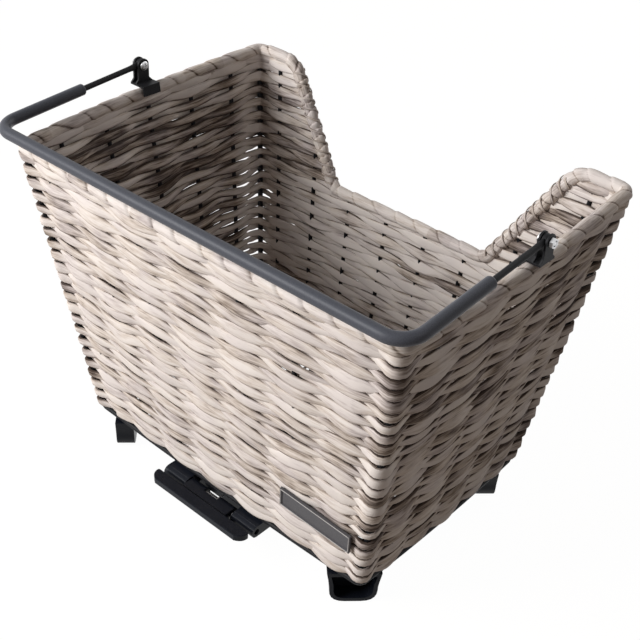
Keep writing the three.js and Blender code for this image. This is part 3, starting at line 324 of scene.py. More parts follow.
near_nodes = [f"near_stake_{k + 1}" for k in range(NEAR_UPRIGHTS)]
far_nodes = [f"far_stake_{FAR_UPRIGHTS - k}" for k in range(FAR_UPRIGHTS)]
for names, first in ((near_nodes, 0), (far_nodes, POSTS["far_right"] + 1)):
    for k, node in enumerate(names):
        low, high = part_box(node)
        name = node.replace("stake", "upright")
        wire = upright(name, upright_index[first + k], STAKE_RADIUS, low.z, high.z)
        dress(wire, wire_coating, "basket", "wire", node)
for corner, k in POSTS.items():
    low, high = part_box(f"corner_post_{corner}")
    wire = upright(f"post_{corner}", upright_index[k], POST_RADIUS, low.z, high.z)
    dress(wire, wire_coating, "basket", "wire", f"corner_post_{corner}")
for k in range(SIDE_UPRIGHTS):
    node = f"side_hoop_{k + 1}"
    tip_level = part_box(node)[1].z - LIFT
    run = np.full(2, upright_run[POSTS["near_right"] + 1 + k])
    foot, tip = wall_frame(run, np.array([STAKE_RADIUS, tip_level]))[0]
    mirror = np.array([-1, 1, 1])
    hoop_path = resample(rounded([tip * mirror, foot * mirror, foot, tip], [HOOP_BEND] * 2), 0.003)
    hoop = grid_piece(f"hoop_{k + 1}", [tube_rings(hoop_path, (0, 1, 0), STAKE_RADIUS, WIRE_SIDES)])
    dress(hoop, wire_coating, "basket", "wire", node)
dress(nodes["rim_wire"], wire_coating, "basket", "wire")

# Woven walls: long strands of rattan, woven in and out of the uprights and spiralling up one row
# for each turn. There are 29 uprights, an odd number, so each row passes outside the uprights that
# the row below it passes inside. Strands are pressed flat where they cross an upright.

SILL = 0.170
NOTCH_HALF_SILL = 0.083
NOTCH_HALF_TOP = 0.148
ROWS = 45
STEPS = 12
ROW_SHIFT = 0.2
FIRST_LEVEL = 0.8
WAVES_ROUND = (7, 9, 12, 16, 21)
STRANDS = 70
STRAND_CROSSINGS = (28, 75)
STRAND_SIDES = 12
BADGE_X = 0.117
BADGE_LEVEL = 0.048
BADGE_HALF = (0.035, 0.010)
BADGE_MARGIN = (0.004, 0.007)
BADGE_ROOM = 0.0018

# Places round the basket are counted in uprights: where each wall runs from and to, and how far the
# rounding of a corner and the ridge on it reach.
LEFT_WALL = (22.6, 28.4)
RIGHT_WALL = (6.6, 13.4)
FAR_WALL = (13.4, 21.6)
CORNER_REACH = 0.4
RIDGE_REACH = 0.17

# Amounts all round, and what is added to them on one wall, round a corner or on its ridge. A row
# swings out over an upright and in behind the next, and a strand is wider where it crosses one.
# Jitters of width and swing are shares of them, twists are in radians, and tones run from 0 to 1.
ROW_WANDER = {"all": 0.0008, "far": -0.00036}
ROW_JITTER = {"all": 0.00065, "left": -0.0003, "far": -0.0002, "near": -0.00015}
STRAND_WIDTH = {"all": 0.0063, "left": 0.0005, "right": 0.0003}
WIDER_OUTSIDE = {"all": 0.0046, "left": -0.0016, "corner": -0.0014, "ridge": -0.0019}
WIDER_INSIDE = {"all": 0.0030, "left": -0.0002, "far": 0.0007, "corner": -0.0010}
WIDTH_JITTER = {"all": 0.12, "left": -0.03, "corner": 0.04}
STRAND_DEPTH = {"all": 0.0025, "left": 0.0011, "corner": 0.0006}
PRESSED_FLATTER = {"all": 0.0003, "left": -0.0003}
STRAND_SWING = {"all": 0.0018, "far": -0.0005, "left": 0.0005, "right": 0.0004, "near": 0.0003,
                "corner": 0.0007}
RIDGE_SWING = 0.0013
SWING_JITTER = 0.05
SECTION_POWER = {"all": 0.6, "left": 0.35}
# The left and right walls' tones are lowered as painted shade, and the far wall's is raised as painted
# light.
WALL_TONE_AND_PAINTED_LIGHT = {"all": 0.5, "left": -0.12, "right": -0.14, "far": 0.09}
# How much painted shade each wall and corner gets: darker grooves between strands and a wider spread of
# strand shades.
PAINTED_SHADE_BY_PLACE = {"left": 1.2, "right": 1, "far": 0.7, "corner": 0.7}
TWIST_JITTER = 0.10
SWING_TWIST = 0.04
SHORT_WALL_TWIST = 0.10

# Half way up, at the left wall's far end, the strands are loose and thinner: the middle and the reach
# of that patch, in uprights and in height.
LOOSE_MIDDLE = (22.6, 0.115)
LOOSE_REACH = (1.1, 0.035)
LOOSE_THINNER = 0.0018

# What changes a strand's tone: its own shade, jitter along it, and painted shade, which spreads the
# shades wider on the shaded walls and darkens the left wall low down and the horns on their inside.
STRAND_SHADE = 0.07
SHADE_JITTER = 0.09
SPOT_JITTER = 0.05
PAINTED_SHADE_CONTRAST = 1.3
PAINTED_LOW_SHADE_FROM = 0.23
PAINTED_LOW_SHADE_DEPTH = 1.6
HORNS_PAINTED_SHADE = 0.20


def rim_height(y):
    """Height of the rim's top over the weave's bottom edge, rising evenly from near to far."""
    return NEAR_RIM + (FAR_RIM - NEAR_RIM) * (y / HALF_TOP[1] + 1) / 2


def between(values, place):
    """Values given at whole numbers, eased into each other by a half cosine in between."""
    whole = np.floor(place).astype(int)
    ease = 0.5 - 0.5 * np.cos(np.pi * (place - whole))
    return values[whole] + (values[whole + 1] - values[whole]) * ease


def signed_power(wave, power):
    """A wave raised to a power, with its sign kept."""
    return np.sign(wave) * np.abs(wave) ** power


def strand_rings(centre, up_wish, half_width, half_depth, twist, sides, power=0.6):
    """A flattened strand along a line of points. Each ring is a superellipse, half_width along the
    wall and half_depth across it, whose cosine and sine are raised to power, turned by twist. These
    four are one number for the whole strand or one for each point."""
    along = np.gradient(centre, axis=0)
    along /= np.linalg.norm(along, axis=1)[:, None]
    out = np.cross(along, up_wish)
    out /= np.linalg.norm(out, axis=1)[:, None]
    up = np.cross(out, along)
    angle = np.linspace(0, 2 * np.pi, sides, endpoint=False)
    half_width, half_depth, twist, power = (
        np.broadcast_to(value, len(centre))[:, None]
        for value in (half_width, half_depth, twist, power))
    wide, deep = signed_power(np.cos(angle), power), signed_power(np.sin(angle), power)
    cosine, sine = np.cos(twist)[..., None], np.sin(twist)[..., None]
    wide_way = up[:, None] * cosine + out[:, None] * sine
    deep_way = out[:, None] * cosine - up[:, None] * sine
    return (centre[:, None] + wide_way * (half_width * wide)[..., None]
            + deep_way * (half_depth * deep)[..., None])


chance = np.random.default_rng(7)
crossings = UPRIGHTS * (ROWS + 2)
turn_at = np.arange(crossings * STEPS + 1) / STEPS
local = turn_at % UPRIGHTS
run = np.interp(local, np.arange(UPRIGHTS + 1), np.append(upright_run, upright_run[0] + girth))
spot = wall_frame(run, np.full_like(run, NEAR_RIM))[0]
weave_top = rim_height(np.clip(spot[:, 1], -HALF_TOP[1], HALF_TOP[1])) - 2 * BINDING_RADIUS
level = np.clip(turn_at / UPRIGHTS - ROW_SHIFT, FIRST_LEVEL, ROWS - ROW_SHIFT)

# How far each point of the rows lies on a wall, round a corner and on a ridge, from 0 to 1.
left_wall, right_wall, far_wall = (
    np.clip((local - start) * 2, 0, 1) * np.clip((end - local) * 2, 0, 1)
    for start, end in (LEFT_WALL, RIGHT_WALL, FAR_WALL))
near_wall = 1 - np.clip(left_wall + right_wall + far_wall, 0, 1)
posts_round = np.array([POSTS["near_left"] - UPRIGHTS, *POSTS.values()])
to_corner = np.abs(local[:, None] - posts_round).min(1)
ridge = np.exp(-((to_corner / RIDGE_REACH) ** 2))
parts_of_wall = {"all": 1, "near": near_wall, "right": right_wall, "far": far_wall, "left": left_wall,
                 "corner": np.exp(-((to_corner / CORNER_REACH) ** 2)), "ridge": ridge}


def amount_at(amounts):
    """The amount all round plus each part's own amount times how far a point lies on that part."""
    return sum(amount * parts_of_wall[part] for part, amount in amounts.items())


# Neighbouring rows wander up and down together in long shallow waves, and each one a little alone.
wander = np.zeros_like(run)
for waves in WAVES_ROUND:
    drift, offset = chance.uniform(-0.5, 0.5), chance.uniform(0, 2 * np.pi)
    wander += np.sin(2 * np.pi * (waves * run / girth + drift * level / 6) + offset)
wander *= np.sin(np.pi * level / ROWS) ** 0.5
row_jitter, width_jitter, twist_jitter, swing_jitter, shade_jitter, spot_jitter = (
    np.clip(between(chance.normal(0, 1, crossings + 3), turn_at), -2, 2) for _ in range(6))
height = level / ROWS * weave_top + amount_at(ROW_WANDER) * wander + amount_at(ROW_JITTER) * row_jitter
loose = np.exp(-(((local - LOOSE_MIDDLE[0]) / LOOSE_REACH[0]) ** 2)) * np.clip(
    2 - np.abs(height - LOOSE_MIDDLE[1]) / LOOSE_REACH[1], 0, 1)

# phase is 1 where a row is outside an upright, -1 where it is inside one, and 0 halfway between.
phase = np.cos(np.pi * turn_at)
outside, inside = np.clip(phase, 0, 1), np.clip(-phase, 0, 1)
width = amount_at(STRAND_WIDTH) - LOOSE_THINNER * loose
width = width + outside * amount_at(WIDER_OUTSIDE) + inside * amount_at(WIDER_INSIDE)
width = width * (1 + amount_at(WIDTH_JITTER) * width_jitter)
depth = amount_at(STRAND_DEPTH) - amount_at(PRESSED_FLATTER) * (outside + inside)

# A strand leans at random, against its swing, and on the short walls' sides that face +X.
on_plus_x_face = right_wall * outside + left_wall * inside
twist = TWIST_JITTER * twist_jitter - SWING_TWIST * phase - SHORT_WALL_TWIST * on_plus_x_face
swing = (amount_at(STRAND_SWING) + RIDGE_SWING * ridge * outside) * phase
swing = swing * (1 + SWING_JITTER * swing_jitter)
place, _, up, out = wall_frame(run, height)
behind_badge = ((local < POSTS["near_right"])
                & (np.abs(place[:, 0] - BADGE_X) < BADGE_HALF[0] + BADGE_MARGIN[0])
                & (np.abs(height - BADGE_LEVEL) < BADGE_HALF[1] + BADGE_MARGIN[1]))
swing = np.where(behind_badge, np.minimum(swing, BADGE_ROOM), swing)
centre = place + out * swing[:, None]
rings = strand_rings(centre, up, width / 2, depth / 2, twist, STRAND_SIDES, amount_at(SECTION_POWER))
length = run_along(centre)

# A new strand starts every few dozen crossings, each with its own shade. The shades spread wider where
# there is painted shade, and painted shade darkens the left wall, more low down, the right wall all
# over and the horns beside the cut-out on their inside, while painted light makes the far wall lighter.
strand_starts = np.cumsum(chance.integers(*STRAND_CROSSINGS, STRANDS))
strand_shade = chance.normal(0, 1, STRANDS + 1)[np.searchsorted(strand_starts, turn_at)]
horns = (local > POSTS["far_right"]) & (local < POSTS["far_left"]) & (height > SILL)
# The weight of painted shade at each point: darker grooves and a wider spread of shades.
painted_shade_weight = np.max([amount * parts_of_wall[part] for part, amount in PAINTED_SHADE_BY_PLACE.items()], axis=0)
shade = STRAND_SHADE * strand_shade + SHADE_JITTER * shade_jitter + SPOT_JITTER * spot_jitter
# Painted shade: the left wall darkens below a height, deep inside the basket.
painted_low_shade = np.clip(PAINTED_LOW_SHADE_FROM - height, 0, 1) * left_wall
tone = amount_at(WALL_TONE_AND_PAINTED_LIGHT) + (1 + PAINTED_SHADE_CONTRAST * painted_shade_weight) * shade - PAINTED_LOW_SHADE_DEPTH * painted_low_shade
# Painted shade on the horns beside the cut-out, on their inside.
tone = np.clip(tone - HORNS_PAINTED_SHADE * horns, 0, 1)


def strand_edge(sides):
    """How near each point of a strand's ring is to its two thin edges: the cosine to the fourth, which
    weights the painted shade along the edges.
    """
    return np.cos(np.linspace(0, 2 * np.pi, sides, endpoint=False)) ** 4


def row_edge(stretch):
    """How much painted shade darkens the edges along a stretch of the rows, in the grooves between
    strands: nearness times one plus twice the painted shade weight, and 0.3 more on the near wall.
    Edges that stand clear of the next row get a painted highlight: four times their nearness comes off
    the lower edge on the right wall, and once their nearness off the upper edge on the left wall."""
    upper = np.cos(np.linspace(0, 2 * np.pi, STRAND_SIDES, endpoint=False)) > 0
    painted_highlight = np.where(upper, left_wall[stretch, None], 4 * right_wall[stretch, None])
    dark = 1 + 2 * painted_shade_weight[stretch, None] + 0.3 * near_wall[stretch, None]
    return (dark - painted_highlight) * strand_edge(STRAND_SIDES)


# The saddle cut-out: rows above its sill turn back at the sloping wire and leave the middle out.
over_sill = height > SILL - 1.4 * BINDING_RADIUS
notch_reach = NOTCH_HALF_SILL + (NOTCH_HALF_TOP - NOTCH_HALF_SILL) * (height - SILL) / (FAR_RIM - SILL)
in_far_wall = (local > POSTS["far_right"] + 0.5) & (local < POSTS["far_left"] + 0.5)
in_notch = over_sill & in_far_wall & (np.abs(place[:, 0]) < notch_reach + BINDING_RADIUS)
kept = np.flatnonzero(~in_notch)
stretches = np.split(kept, np.flatnonzero(np.diff(kept) > 1) + 1)


def rattan_finish():
    """Grey-beige rattan. Each strand's shade comes from its tone, which also carries painted light and
    shade. Streaks of browner fibre run along it, and longer stretches turn from cream to mauve-grey.
    Its edges are darkened by painted shade, or lightened by a painted highlight where the edge value is
    below 0. The value is half of the tone plus each noise times its weight, less the edge times its
    weight."""
    finish, tree, surface = new_finish("rattan_strand", 0.72)
    shade = add_node(tree, "ShaderNodeAttribute", attribute_name="tone").outputs["Fac"]
    edge = add_node(tree, "ShaderNodeAttribute", attribute_name="edge").outputs["Fac"]
    coordinates = add_node(tree, "ShaderNodeTexCoord").outputs

    def along_strand(scale, detail):
        way = add_node(tree, "ShaderNodeMapping", [("Vector", coordinates["UV"]), ("Scale", scale)])
        return add_noise(tree, way.outputs["Vector"], 1, detail, 0.55)
    patch = along_strand((24, 1.2, 1), 2)
    streak = along_strand((34, 9, 1), 3)
    fibre = along_strand((70, 34, 1), 3)
    value = shade
    for part, weight in ((patch, 0.3), (streak, 1.15), (fibre, 0.75), (edge, -0.32)):
        value = add_node(tree, "ShaderNodeMath", [(0, part), (1, weight), (2, value)],
                         operation="MULTIPLY_ADD").outputs[0]
    value = add_node(tree, "ShaderNodeMath", [(0, value), (1, 0.5)], operation="MULTIPLY").outputs[0]
    cream = add_ramp(tree, value, [
        (0.46, (0.07, 0.05, 0.04)), (0.59, (0.30, 0.245, 0.205)), (0.71, (0.59, 0.515, 0.455)),
        (0.84, (0.73, 0.67, 0.625))])
    mauve = add_ramp(tree, value, [
        (0.46, (0.065, 0.05, 0.045)), (0.59, (0.25, 0.21, 0.195)), (0.71, (0.50, 0.44, 0.42)),
        (0.84, (0.67, 0.61, 0.58))])
    share = add_node(tree, "ShaderNodeMapRange", [
        ("Value", patch), ("From Min", 0.43), ("From Max", 0.60)])
    mix = add_node(tree, "ShaderNodeMix", [
        ("Factor", share.outputs["Result"]), (6, cream), (7, mauve)], data_type="RGBA")
    tree.links.new(mix.outputs[2], surface.inputs["Base Color"])
    add_bump(tree, surface, value, 0.35, 0.0005)
    surface.inputs["Specular IOR Level"].default_value = 0.03
    return finish


rattan = rattan_finish()

# Three bands of rows are three pieces, so that none of them has too many faces.
band_rows = [0, 16, 32, ROWS + 2]
for name, first, last in zip(("weave_low", "weave_middle", "weave_high"), band_rows, band_rows[1:]):
    low, high = first * UPRIGHTS * STEPS, last * UPRIGHTS * STEPS
    parts = [part[(part >= low) & (part <= high)] for part in stretches]
    parts = [part for part in parts if len(part) > 3]
    weave = grid_piece(name, [rings[p] for p in parts], uv=[length[p] for p in parts],
                       tone=[tone[p] for p in parts], edge=[row_edge(p) for p in parts])
    dress(weave, rattan, "basket", "weave", "woven_walls")

# Border: one flat strand wrapped round the top wire, each turn lapping the turn before, with close
# turns on the cut-out's slopes, where it also binds the ends of the rows.

HORN_BEND = 0.025
SILL_BEND = 0.014
RIM_STEP = 0.001
SLOPE_RISE = 0.3
WRAP = 0.0245
SLOPE_WRAP = 0.0085
WRAP_EASE = 10
WRAP_WOBBLE = 0.10
BORDER_SIDES = 32
BORDER_RADIUS = 0.0045
LAP_SHARE = 0.88
LAP_RISE = 0.0008
CROWN_RISE = 0.00045
SEAM_SHARE = 0.07


def rim_line():
    """The top wire's line as distance round the basket and height: level with the walls' tops, and
    down the slopes and along the sill of the cut-out."""
    far_start, far_end = outline_run[2 * span], outline_run[2 * span + WALL_SAMPLES]
    step = 1.5 * RIM_STEP
    side_runs = np.concatenate([np.arange(far_end, girth, step) - girth, np.arange(0, far_start, step)])
    spots = wall_frame(side_runs, np.full_like(side_runs, NEAR_RIM))[0]
    side_heights = rim_height(np.clip(spots[:, 1], -HALF_TOP[1], HALF_TOP[1])) - BINDING_RADIUS
    lean = math.atan2(NOTCH_HALF_TOP - NOTCH_HALF_SILL, FAR_RIM - SILL)
    shift = BINDING_RADIUS / math.cos(lean) - BINDING_RADIUS * math.tan(lean)
    horn, sill = NOTCH_HALF_TOP + shift, NOTCH_HALF_SILL + shift
    high, low = FAR_RIM - BINDING_RADIUS, SILL - BINDING_RADIUS

    def wall_half(level):
        return wall_sizes(level)[0] - CORNER_RADIUS
    end = wall_half(high)
    corners = [(end, high), (horn, high), (sill, low), (-sill, low), (-horn, high), (-end, high)]
    notch = rounded([np.array(c) for c in corners], [HORN_BEND, SILL_BEND, SILL_BEND, HORN_BEND])
    notch = resample(np.column_stack([notch, np.zeros(len(notch))]), RIM_STEP)
    half_run = (far_end - far_start) / 2
    notch_runs = (far_start + far_end) / 2 - notch[:, 0] / wall_half(notch[:, 1]) * half_run
    return np.concatenate([side_runs, notch_runs]), np.concatenate([side_heights, notch[:, 1]])


rim_run, rim_level = rim_line()
rim_place, _, _, rim_out = wall_frame(rim_run, rim_level)
apart = np.linalg.norm(np.diff(rim_place, axis=0, prepend=rim_place[-1:]), axis=1) > 0.0004
rim_raw = np.column_stack([rim_place, rim_out])[apart]
rim_even = resample(np.concatenate([rim_raw, rim_raw[:1]]), RIM_STEP)[:-1]
rim_place, rim_out = rim_even[:, :3], rim_even[:, 3:]
rim_along = np.roll(rim_place, -1, 0) - np.roll(rim_place, 1, 0)
rim_along /= np.linalg.norm(rim_along, axis=1)[:, None]
rim_up = np.cross(rim_out, rim_along)
rim_up /= np.linalg.norm(rim_up, axis=1)[:, None]
rim_out = np.cross(rim_along, rim_up)
rim_step = np.linalg.norm(np.roll(rim_place, -1, 0) - rim_place, axis=1)

# The turns are counted along the rim. Their closeness changes over a few steps at the slopes' ends,
# each one wobbles a little, and more on the slopes, and the count is rounded so that they close up.
on_slope = np.abs(rim_along[:, 2]) > SLOPE_RISE
wrap_rate = np.where(on_slope, 1 / SLOPE_WRAP, 1 / WRAP)
wrap_rate = np.concatenate([wrap_rate[-WRAP_EASE:], wrap_rate, wrap_rate[:WRAP_EASE]])
wrap_rate = np.convolve(wrap_rate, np.ones(2 * WRAP_EASE + 1) / (2 * WRAP_EASE + 1), "valid")
wraps = np.cumsum(rim_step * wrap_rate)
wrap_count = int(round(wraps[-1]))
wraps *= wrap_count / wraps[-1]
wobble = chance.normal(0, WRAP_WOBBLE, wrap_count + 3)
wobble[wrap_count:] = wobble[:3]
wraps = wraps + between(wobble, wraps) * np.where(on_slope, 2.2, 1.0)

# lap runs from 0 at a turn's tucked-in edge to 1 at its other edge, which lies over the turn beside
# it. The radius rises evenly over most of the lap and drops at its end, and the root of half a sine
# wave crowns the strand.
ring_angle = np.linspace(0, 2 * np.pi, BORDER_SIDES, endpoint=False)[::-1]
lap = (wraps[:, None] + ring_angle / (2 * np.pi)) % 1.0
lap_rise = np.where(lap < LAP_SHARE, lap / LAP_SHARE, (1 - lap) / (1 - LAP_SHARE))
crown = np.sin(np.pi * lap) ** 0.5
relief = np.where(on_slope, 1.4, 1.0)[:, None]
border_radius = BORDER_RADIUS + relief * (LAP_RISE * lap_rise + CROWN_RISE * crown)
border_points = (rim_place[:, None] + rim_out[:, None] * (border_radius * np.cos(ring_angle))[..., None]
                 + rim_up[:, None] * (border_radius * np.sin(ring_angle))[..., None])

# Each turn has its own shade. Painted shade darkens the slopes and short walls, and the seams between
# turns carry painted shade in their creases, deeper on the slopes and short walls.
wrap_shade = chance.normal(0, 1, wrap_count + 4)
wrap_shade[wrap_count:] = wrap_shade[:4]
wrap_shade = wrap_shade[np.floor(wraps).astype(int)]
on_short_wall = (np.abs(rim_place[:, 0]) > HALF_TOP[0] - BINDING_RADIUS - CORNER_RADIUS) & ~on_slope
border_tone = 0.50 + 0.08 * wrap_shade - 0.12 * on_slope - 0.08 * on_short_wall
border_length = np.concatenate([[0], np.cumsum(rim_step)])
seam = np.clip(1 - np.minimum(lap, 1 - lap) / SEAM_SHARE, 0, 1)
seam = seam * np.where(on_slope | on_short_wall, 1.5, 0.9)[:, None]
border = grid_piece("rim_border", [border_points], closed=True, uv=[border_length],
                    tone=[border_tone], edge=[seam])
dress(border, rattan, "basket", "weave", "rim_binding")

# Lashings: two thin strands criss-cross over the wraps of each slope, wound the other way.

LASHING_PITCH = 0.021
LASHING_RADIUS = 0.0061
LASHING_HALF = (0.0009, 0.0005)
LASHING_SIDES = 8
LASHING_RISE = 0.75

on_lashing = np.flatnonzero(np.abs(rim_along[:, 2]) > LASHING_RISE)
slopes = np.split(on_lashing, np.flatnonzero(np.diff(on_lashing) > 1) + 1)
for side, part in zip(("right", "left"), slopes):
    fine = np.linspace(part[0], part[-1], len(part) * 3)
    base, out_way, up_way = (
        np.stack([np.interp(fine, part, column) for column in table[part].T], 1)
        for table in (rim_place, rim_out, rim_up))
    lashings, lashing_lengths = [], []
    for start in (0.0, np.pi):
        turn = start + 2 * np.pi * (fine - fine[0]) * RIM_STEP / LASHING_PITCH
        turn = turn + 0.5 * np.sin(turn * 0.6 + start)
        radial = out_way * np.cos(turn)[:, None] + up_way * np.sin(turn)[:, None]
        line = base + LASHING_RADIUS * radial
        forward = np.gradient(line, axis=0)
        lashings.append(strand_rings(line, np.cross(radial, forward), *LASHING_HALF, 0, LASHING_SIDES))
        lashing_lengths.append(np.arange(len(line)) * RIM_STEP)
    lashing = grid_piece(f"rim_lashing_{side}", lashings, uv=lashing_lengths,
                         tone=[np.full(len(fine), 0.3)] * 2, edge=[strand_edge(LASHING_SIDES)] * 2)
    dress(lashing, rattan, "basket", "weave", "rim_binding")

# Floor: a woven mat that lies on the hoops. Flat strands run along the basket, over and under thin
# round ribs that run across it.

RIB_PITCH = 0.018
RIB_RADIUS = 0.0012
MAT_PITCH = 0.0056
MAT_HALF_WIDTH = 0.0029
MAT_OVERLAP = 0.003
MAT_HALF_DEPTH = 0.0009
MAT_STEPS = 8
MAT_SIDES = 8
MAT_DRIFT = 0.0003

floor_low, floor_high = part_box("woven_floor")
mat_level = (floor_low.z + floor_high.z) / 2
mat_half_x, mat_half_y = (reach - BOW_BOTTOM + MAT_OVERLAP for reach in floor_high.xy)
rib_count = int(2 * mat_half_x / RIB_PITCH)
rib_x = (np.arange(rib_count) - (rib_count - 1) / 2) * RIB_PITCH
ribs = []
for x in rib_x:
    rib_path = np.array([(x, -mat_half_y, mat_level), (x, mat_half_y, mat_level)])
    ribs.append(tube_rings(rib_path, (0, 0, 1), RIB_RADIUS, MAT_SIDES))
mat_count = int(2 * (mat_half_y - MAT_HALF_WIDTH) / MAT_PITCH) + 1
mat_strands, mat_lengths, mat_tones = [], [], []
for k in range(mat_count):
    y = (k - (mat_count - 1) / 2) * MAT_PITCH
    x = np.linspace(-mat_half_x, mat_half_x, rib_count * MAT_STEPS)
    wave = np.sin(np.pi * x / RIB_PITCH) if rib_count % 2 == 0 else np.cos(np.pi * x / RIB_PITCH)
    wave = wave * (-1) ** k
    rise = (RIB_RADIUS + MAT_HALF_DEPTH) * signed_power(wave, 0.8)
    drift = MAT_DRIFT * between(chance.normal(0, 1, 24), (x + mat_half_x) * 60)
    line = np.column_stack([x, y + drift, mat_level + rise])
    mat_strands.append(strand_rings(line, (0, 1, 0), MAT_HALF_WIDTH, MAT_HALF_DEPTH, 0, MAT_SIDES))
    mat_lengths.append(x + mat_half_x + k)
    strand_shade = between(chance.normal(0, 1, 12), (x + mat_half_x) * 30)
    mat_tones.append(np.clip(0.45 + 0.12 * strand_shade, 0, 1))
mat = grid_piece("floor_mat", mat_strands, uv=mat_lengths, tone=mat_tones,
                 edge=[strand_edge(MAT_SIDES)] * mat_count)
dress(mat, rattan, "basket", "weave", "woven_floor")
rib_lengths, rib_tones = [np.array([0, 2 * mat_half_y])] * rib_count, [np.full(2, 0.4)] * rib_count
mat_ribs = grid_piece("floor_ribs", ribs, uv=rib_lengths, tone=rib_tones,
                      edge=[np.zeros(MAT_SIDES)] * rib_count)
dress(mat_ribs, rattan, "basket", "weave", "woven_floor")

# Floor fixings: a steel clamp plate inside the basket holds the floor down on the rack adapter with
# four pan-head screws, and one more screw holds each foot. All heads have a cross recess. Each kind
# of screw has its shank's radius, its head's radius and its head's height.

SCREWS = {"adapter_screw": (0.0025, 0.00475, 0.00275), "foot_screw": (0.002, 0.0038, 0.0024),
          "pivot_screw": (0.002, 0.0039, 0.0022)}
HEAD_SIDES = 64
WING_TURN = math.radians(15)


def steel_finish(name, colour, roughness, scale):
    """Bright zinc-plated steel, with fine scratches in its gloss and faint cloudy tone changes."""
    finish, tree, surface = new_finish(name, roughness, 1.0)
    place = add_node(tree, "ShaderNodeTexCoord").outputs["Object"]
    dull = tuple(0.8 * part for part in colour)
    cloudy = add_ramp(tree, add_noise(tree, place, scale / 8, 2), [(0.35, dull), (0.65, colour)])
    tree.links.new(cloudy, surface.inputs["Base Color"])
    scratches = add_noise(tree, place, scale, 4)
    gloss = add_node(tree, "ShaderNodeMapRange", [
        ("Value", scratches), ("To Min", roughness - 0.08), ("To Max", roughness + 0.12)])
    tree.links.new(gloss.outputs["Result"], surface.inputs["Roughness"])
    return finish


def pan_screw(name, kind, underside, way):
    """A pan-head screw as one surface turned about its axis: a domed head, whose recess sinks where
    the angle is within a wing of the cross, and a straight shank with a blunt point. way is the
    direction that its head faces. The dome is a quarter of an ellipse, lifted by 0.45 of the rise."""
    shank, head, rise = SCREWS[kind]
    low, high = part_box(name)
    shank_length = np.subtract(high, low) @ np.abs(way) - rise
    turn = np.linspace(0, np.pi / 2, 13)
    dome = np.stack([head * np.sin(turn), rise * (0.45 + 0.55 * np.cos(turn))], 1)
    dome[0, 0] = head * 0.03
    flank = [(head, rise * 0.2), (head * 0.95, 0), (shank, 0), (shank, shank * 0.6 - shank_length),
             (shank * 0.6, -shank_length), (shank * 0.05, -shank_length)]
    profile = np.concatenate([resample(np.column_stack([dome, np.zeros(13)]), head / 24)[:, :2], flank])
    angle = np.linspace(0, 2 * np.pi, HEAD_SIDES, endpoint=False)
    off_wing = np.abs((angle + np.pi / 4) % (np.pi / 2) - np.pi / 4)
    wing = np.clip((1.5 * WING_TURN - off_wing) / (0.5 * WING_TURN), 0, 1)
    reach, level = profile[:, :1], profile[:, 1:]
    centre_pit = np.clip((0.26 * head - reach) / (0.06 * head), 0, 1)
    wing_run = np.clip((0.62 * head - reach) / (0.08 * head), 0, 1) * (level > 0)
    recess = np.maximum(wing * wing_run, centre_pit * (level > 0))
    level = level - 0.55 * rise * recess
    grid = np.stack([reach * np.cos(angle), reach * np.sin(angle), level + 0 * angle], -1)
    turned = np.array(Vector((0, 0, 1)).rotation_difference(Vector(way)).to_matrix())
    return grid_piece(f"{name}_turned", [grid[::-1] @ turned.T + underside])


zinc = steel_finish("zinc_plated_steel", (0.62, 0.62, 0.63), 0.3, 500)
for name in [name for name in nodes if name.startswith(("adapter_screw", "foot_screw"))]:
    low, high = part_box(name)
    kind = "_".join(name.split("_")[:2])
    underside = np.array([(low.x + high.x) / 2, (low.y + high.y) / 2, high.z - SCREWS[kind][2]])
    dress(pan_screw(name, kind, underside, (0, 0, 1)), zinc, "basket", "steel", name)


def softened(name, node, width):
    """A copy of a node's mesh, made whole again from its triangles, with every edge of more than 30
    degrees bevelled in two steps of the given width."""
    mesh = nodes[node].data.copy()
    mesh.name = name
    shape = bmesh.new()
    shape.from_mesh(mesh)
    bmesh.ops.remove_doubles(shape, verts=shape.verts, dist=0.000002)
    bmesh.ops.dissolve_limit(shape, angle_limit=math.radians(1), verts=shape.verts, edges=shape.edges)
    hard = [edge for edge in shape.edges
            if edge.is_manifold and edge.calc_face_angle(0) > math.radians(30)]
    bmesh.ops.bevel(shape, geom=hard, offset=width, segments=2, profile=0.5, affect="EDGES",
                    clamp_overlap=True)
    shape.to_mesh(mesh)
    shape.free()
    mesh.shade_smooth()
    mesh.set_sharp_from_angle(angle=math.radians(20))
    return add_object(name, mesh)


dress(softened("inside_plate", "clamp_plate", 0.0004), wire_coating, "basket", "wire", "clamp_plate")

# Feet: four black moulded cups stand across the corners under the ring, open outwards, each with
# a ribbed boss that its screw bites into.

black_moulding = coated_finish(
    "black_moulding", (0.005, 0.006, 0.009), (0.009, 0.011, 0.017), 0.28, 1100, 0.00005)
for corner in ("near_left", "near_right", "far_right", "far_left"):
    node = f"foot_{corner}"
    dress(softened(f"{node}_cup", node, 0.0007), black_moulding, "basket", "moulding", node)

# Rack adapter and release lever: black glass-filled nylon. The lever's barrel turns on a steel pin
# between the adapter's knuckles, and a torsion spring round the pin presses its hooks home. One
# leg of the spring lies in the adapter, and the other turns with the lever and winds the coil.

PIN_CHAMFER = 0.0005
SPRING_WIRE = 0.0007
SPRING_RADIUS = 0.0042
SPRING_TURNS = 6
SPRING_HALF = 0.0063
SPRING_LEG = 0.009
SPRING_FAR_LEG = 0.016
LEG_POINTS = 7

adapter = softened("adapter_plate", "rack_adapter", 0.0008)
dress(adapter, black_moulding, "basket", "moulding", "rack_adapter")
lever = softened("lever_bar", "release_lever", 0.0008)
dress(lever, black_moulding, "lever", "moulding", "release_lever")

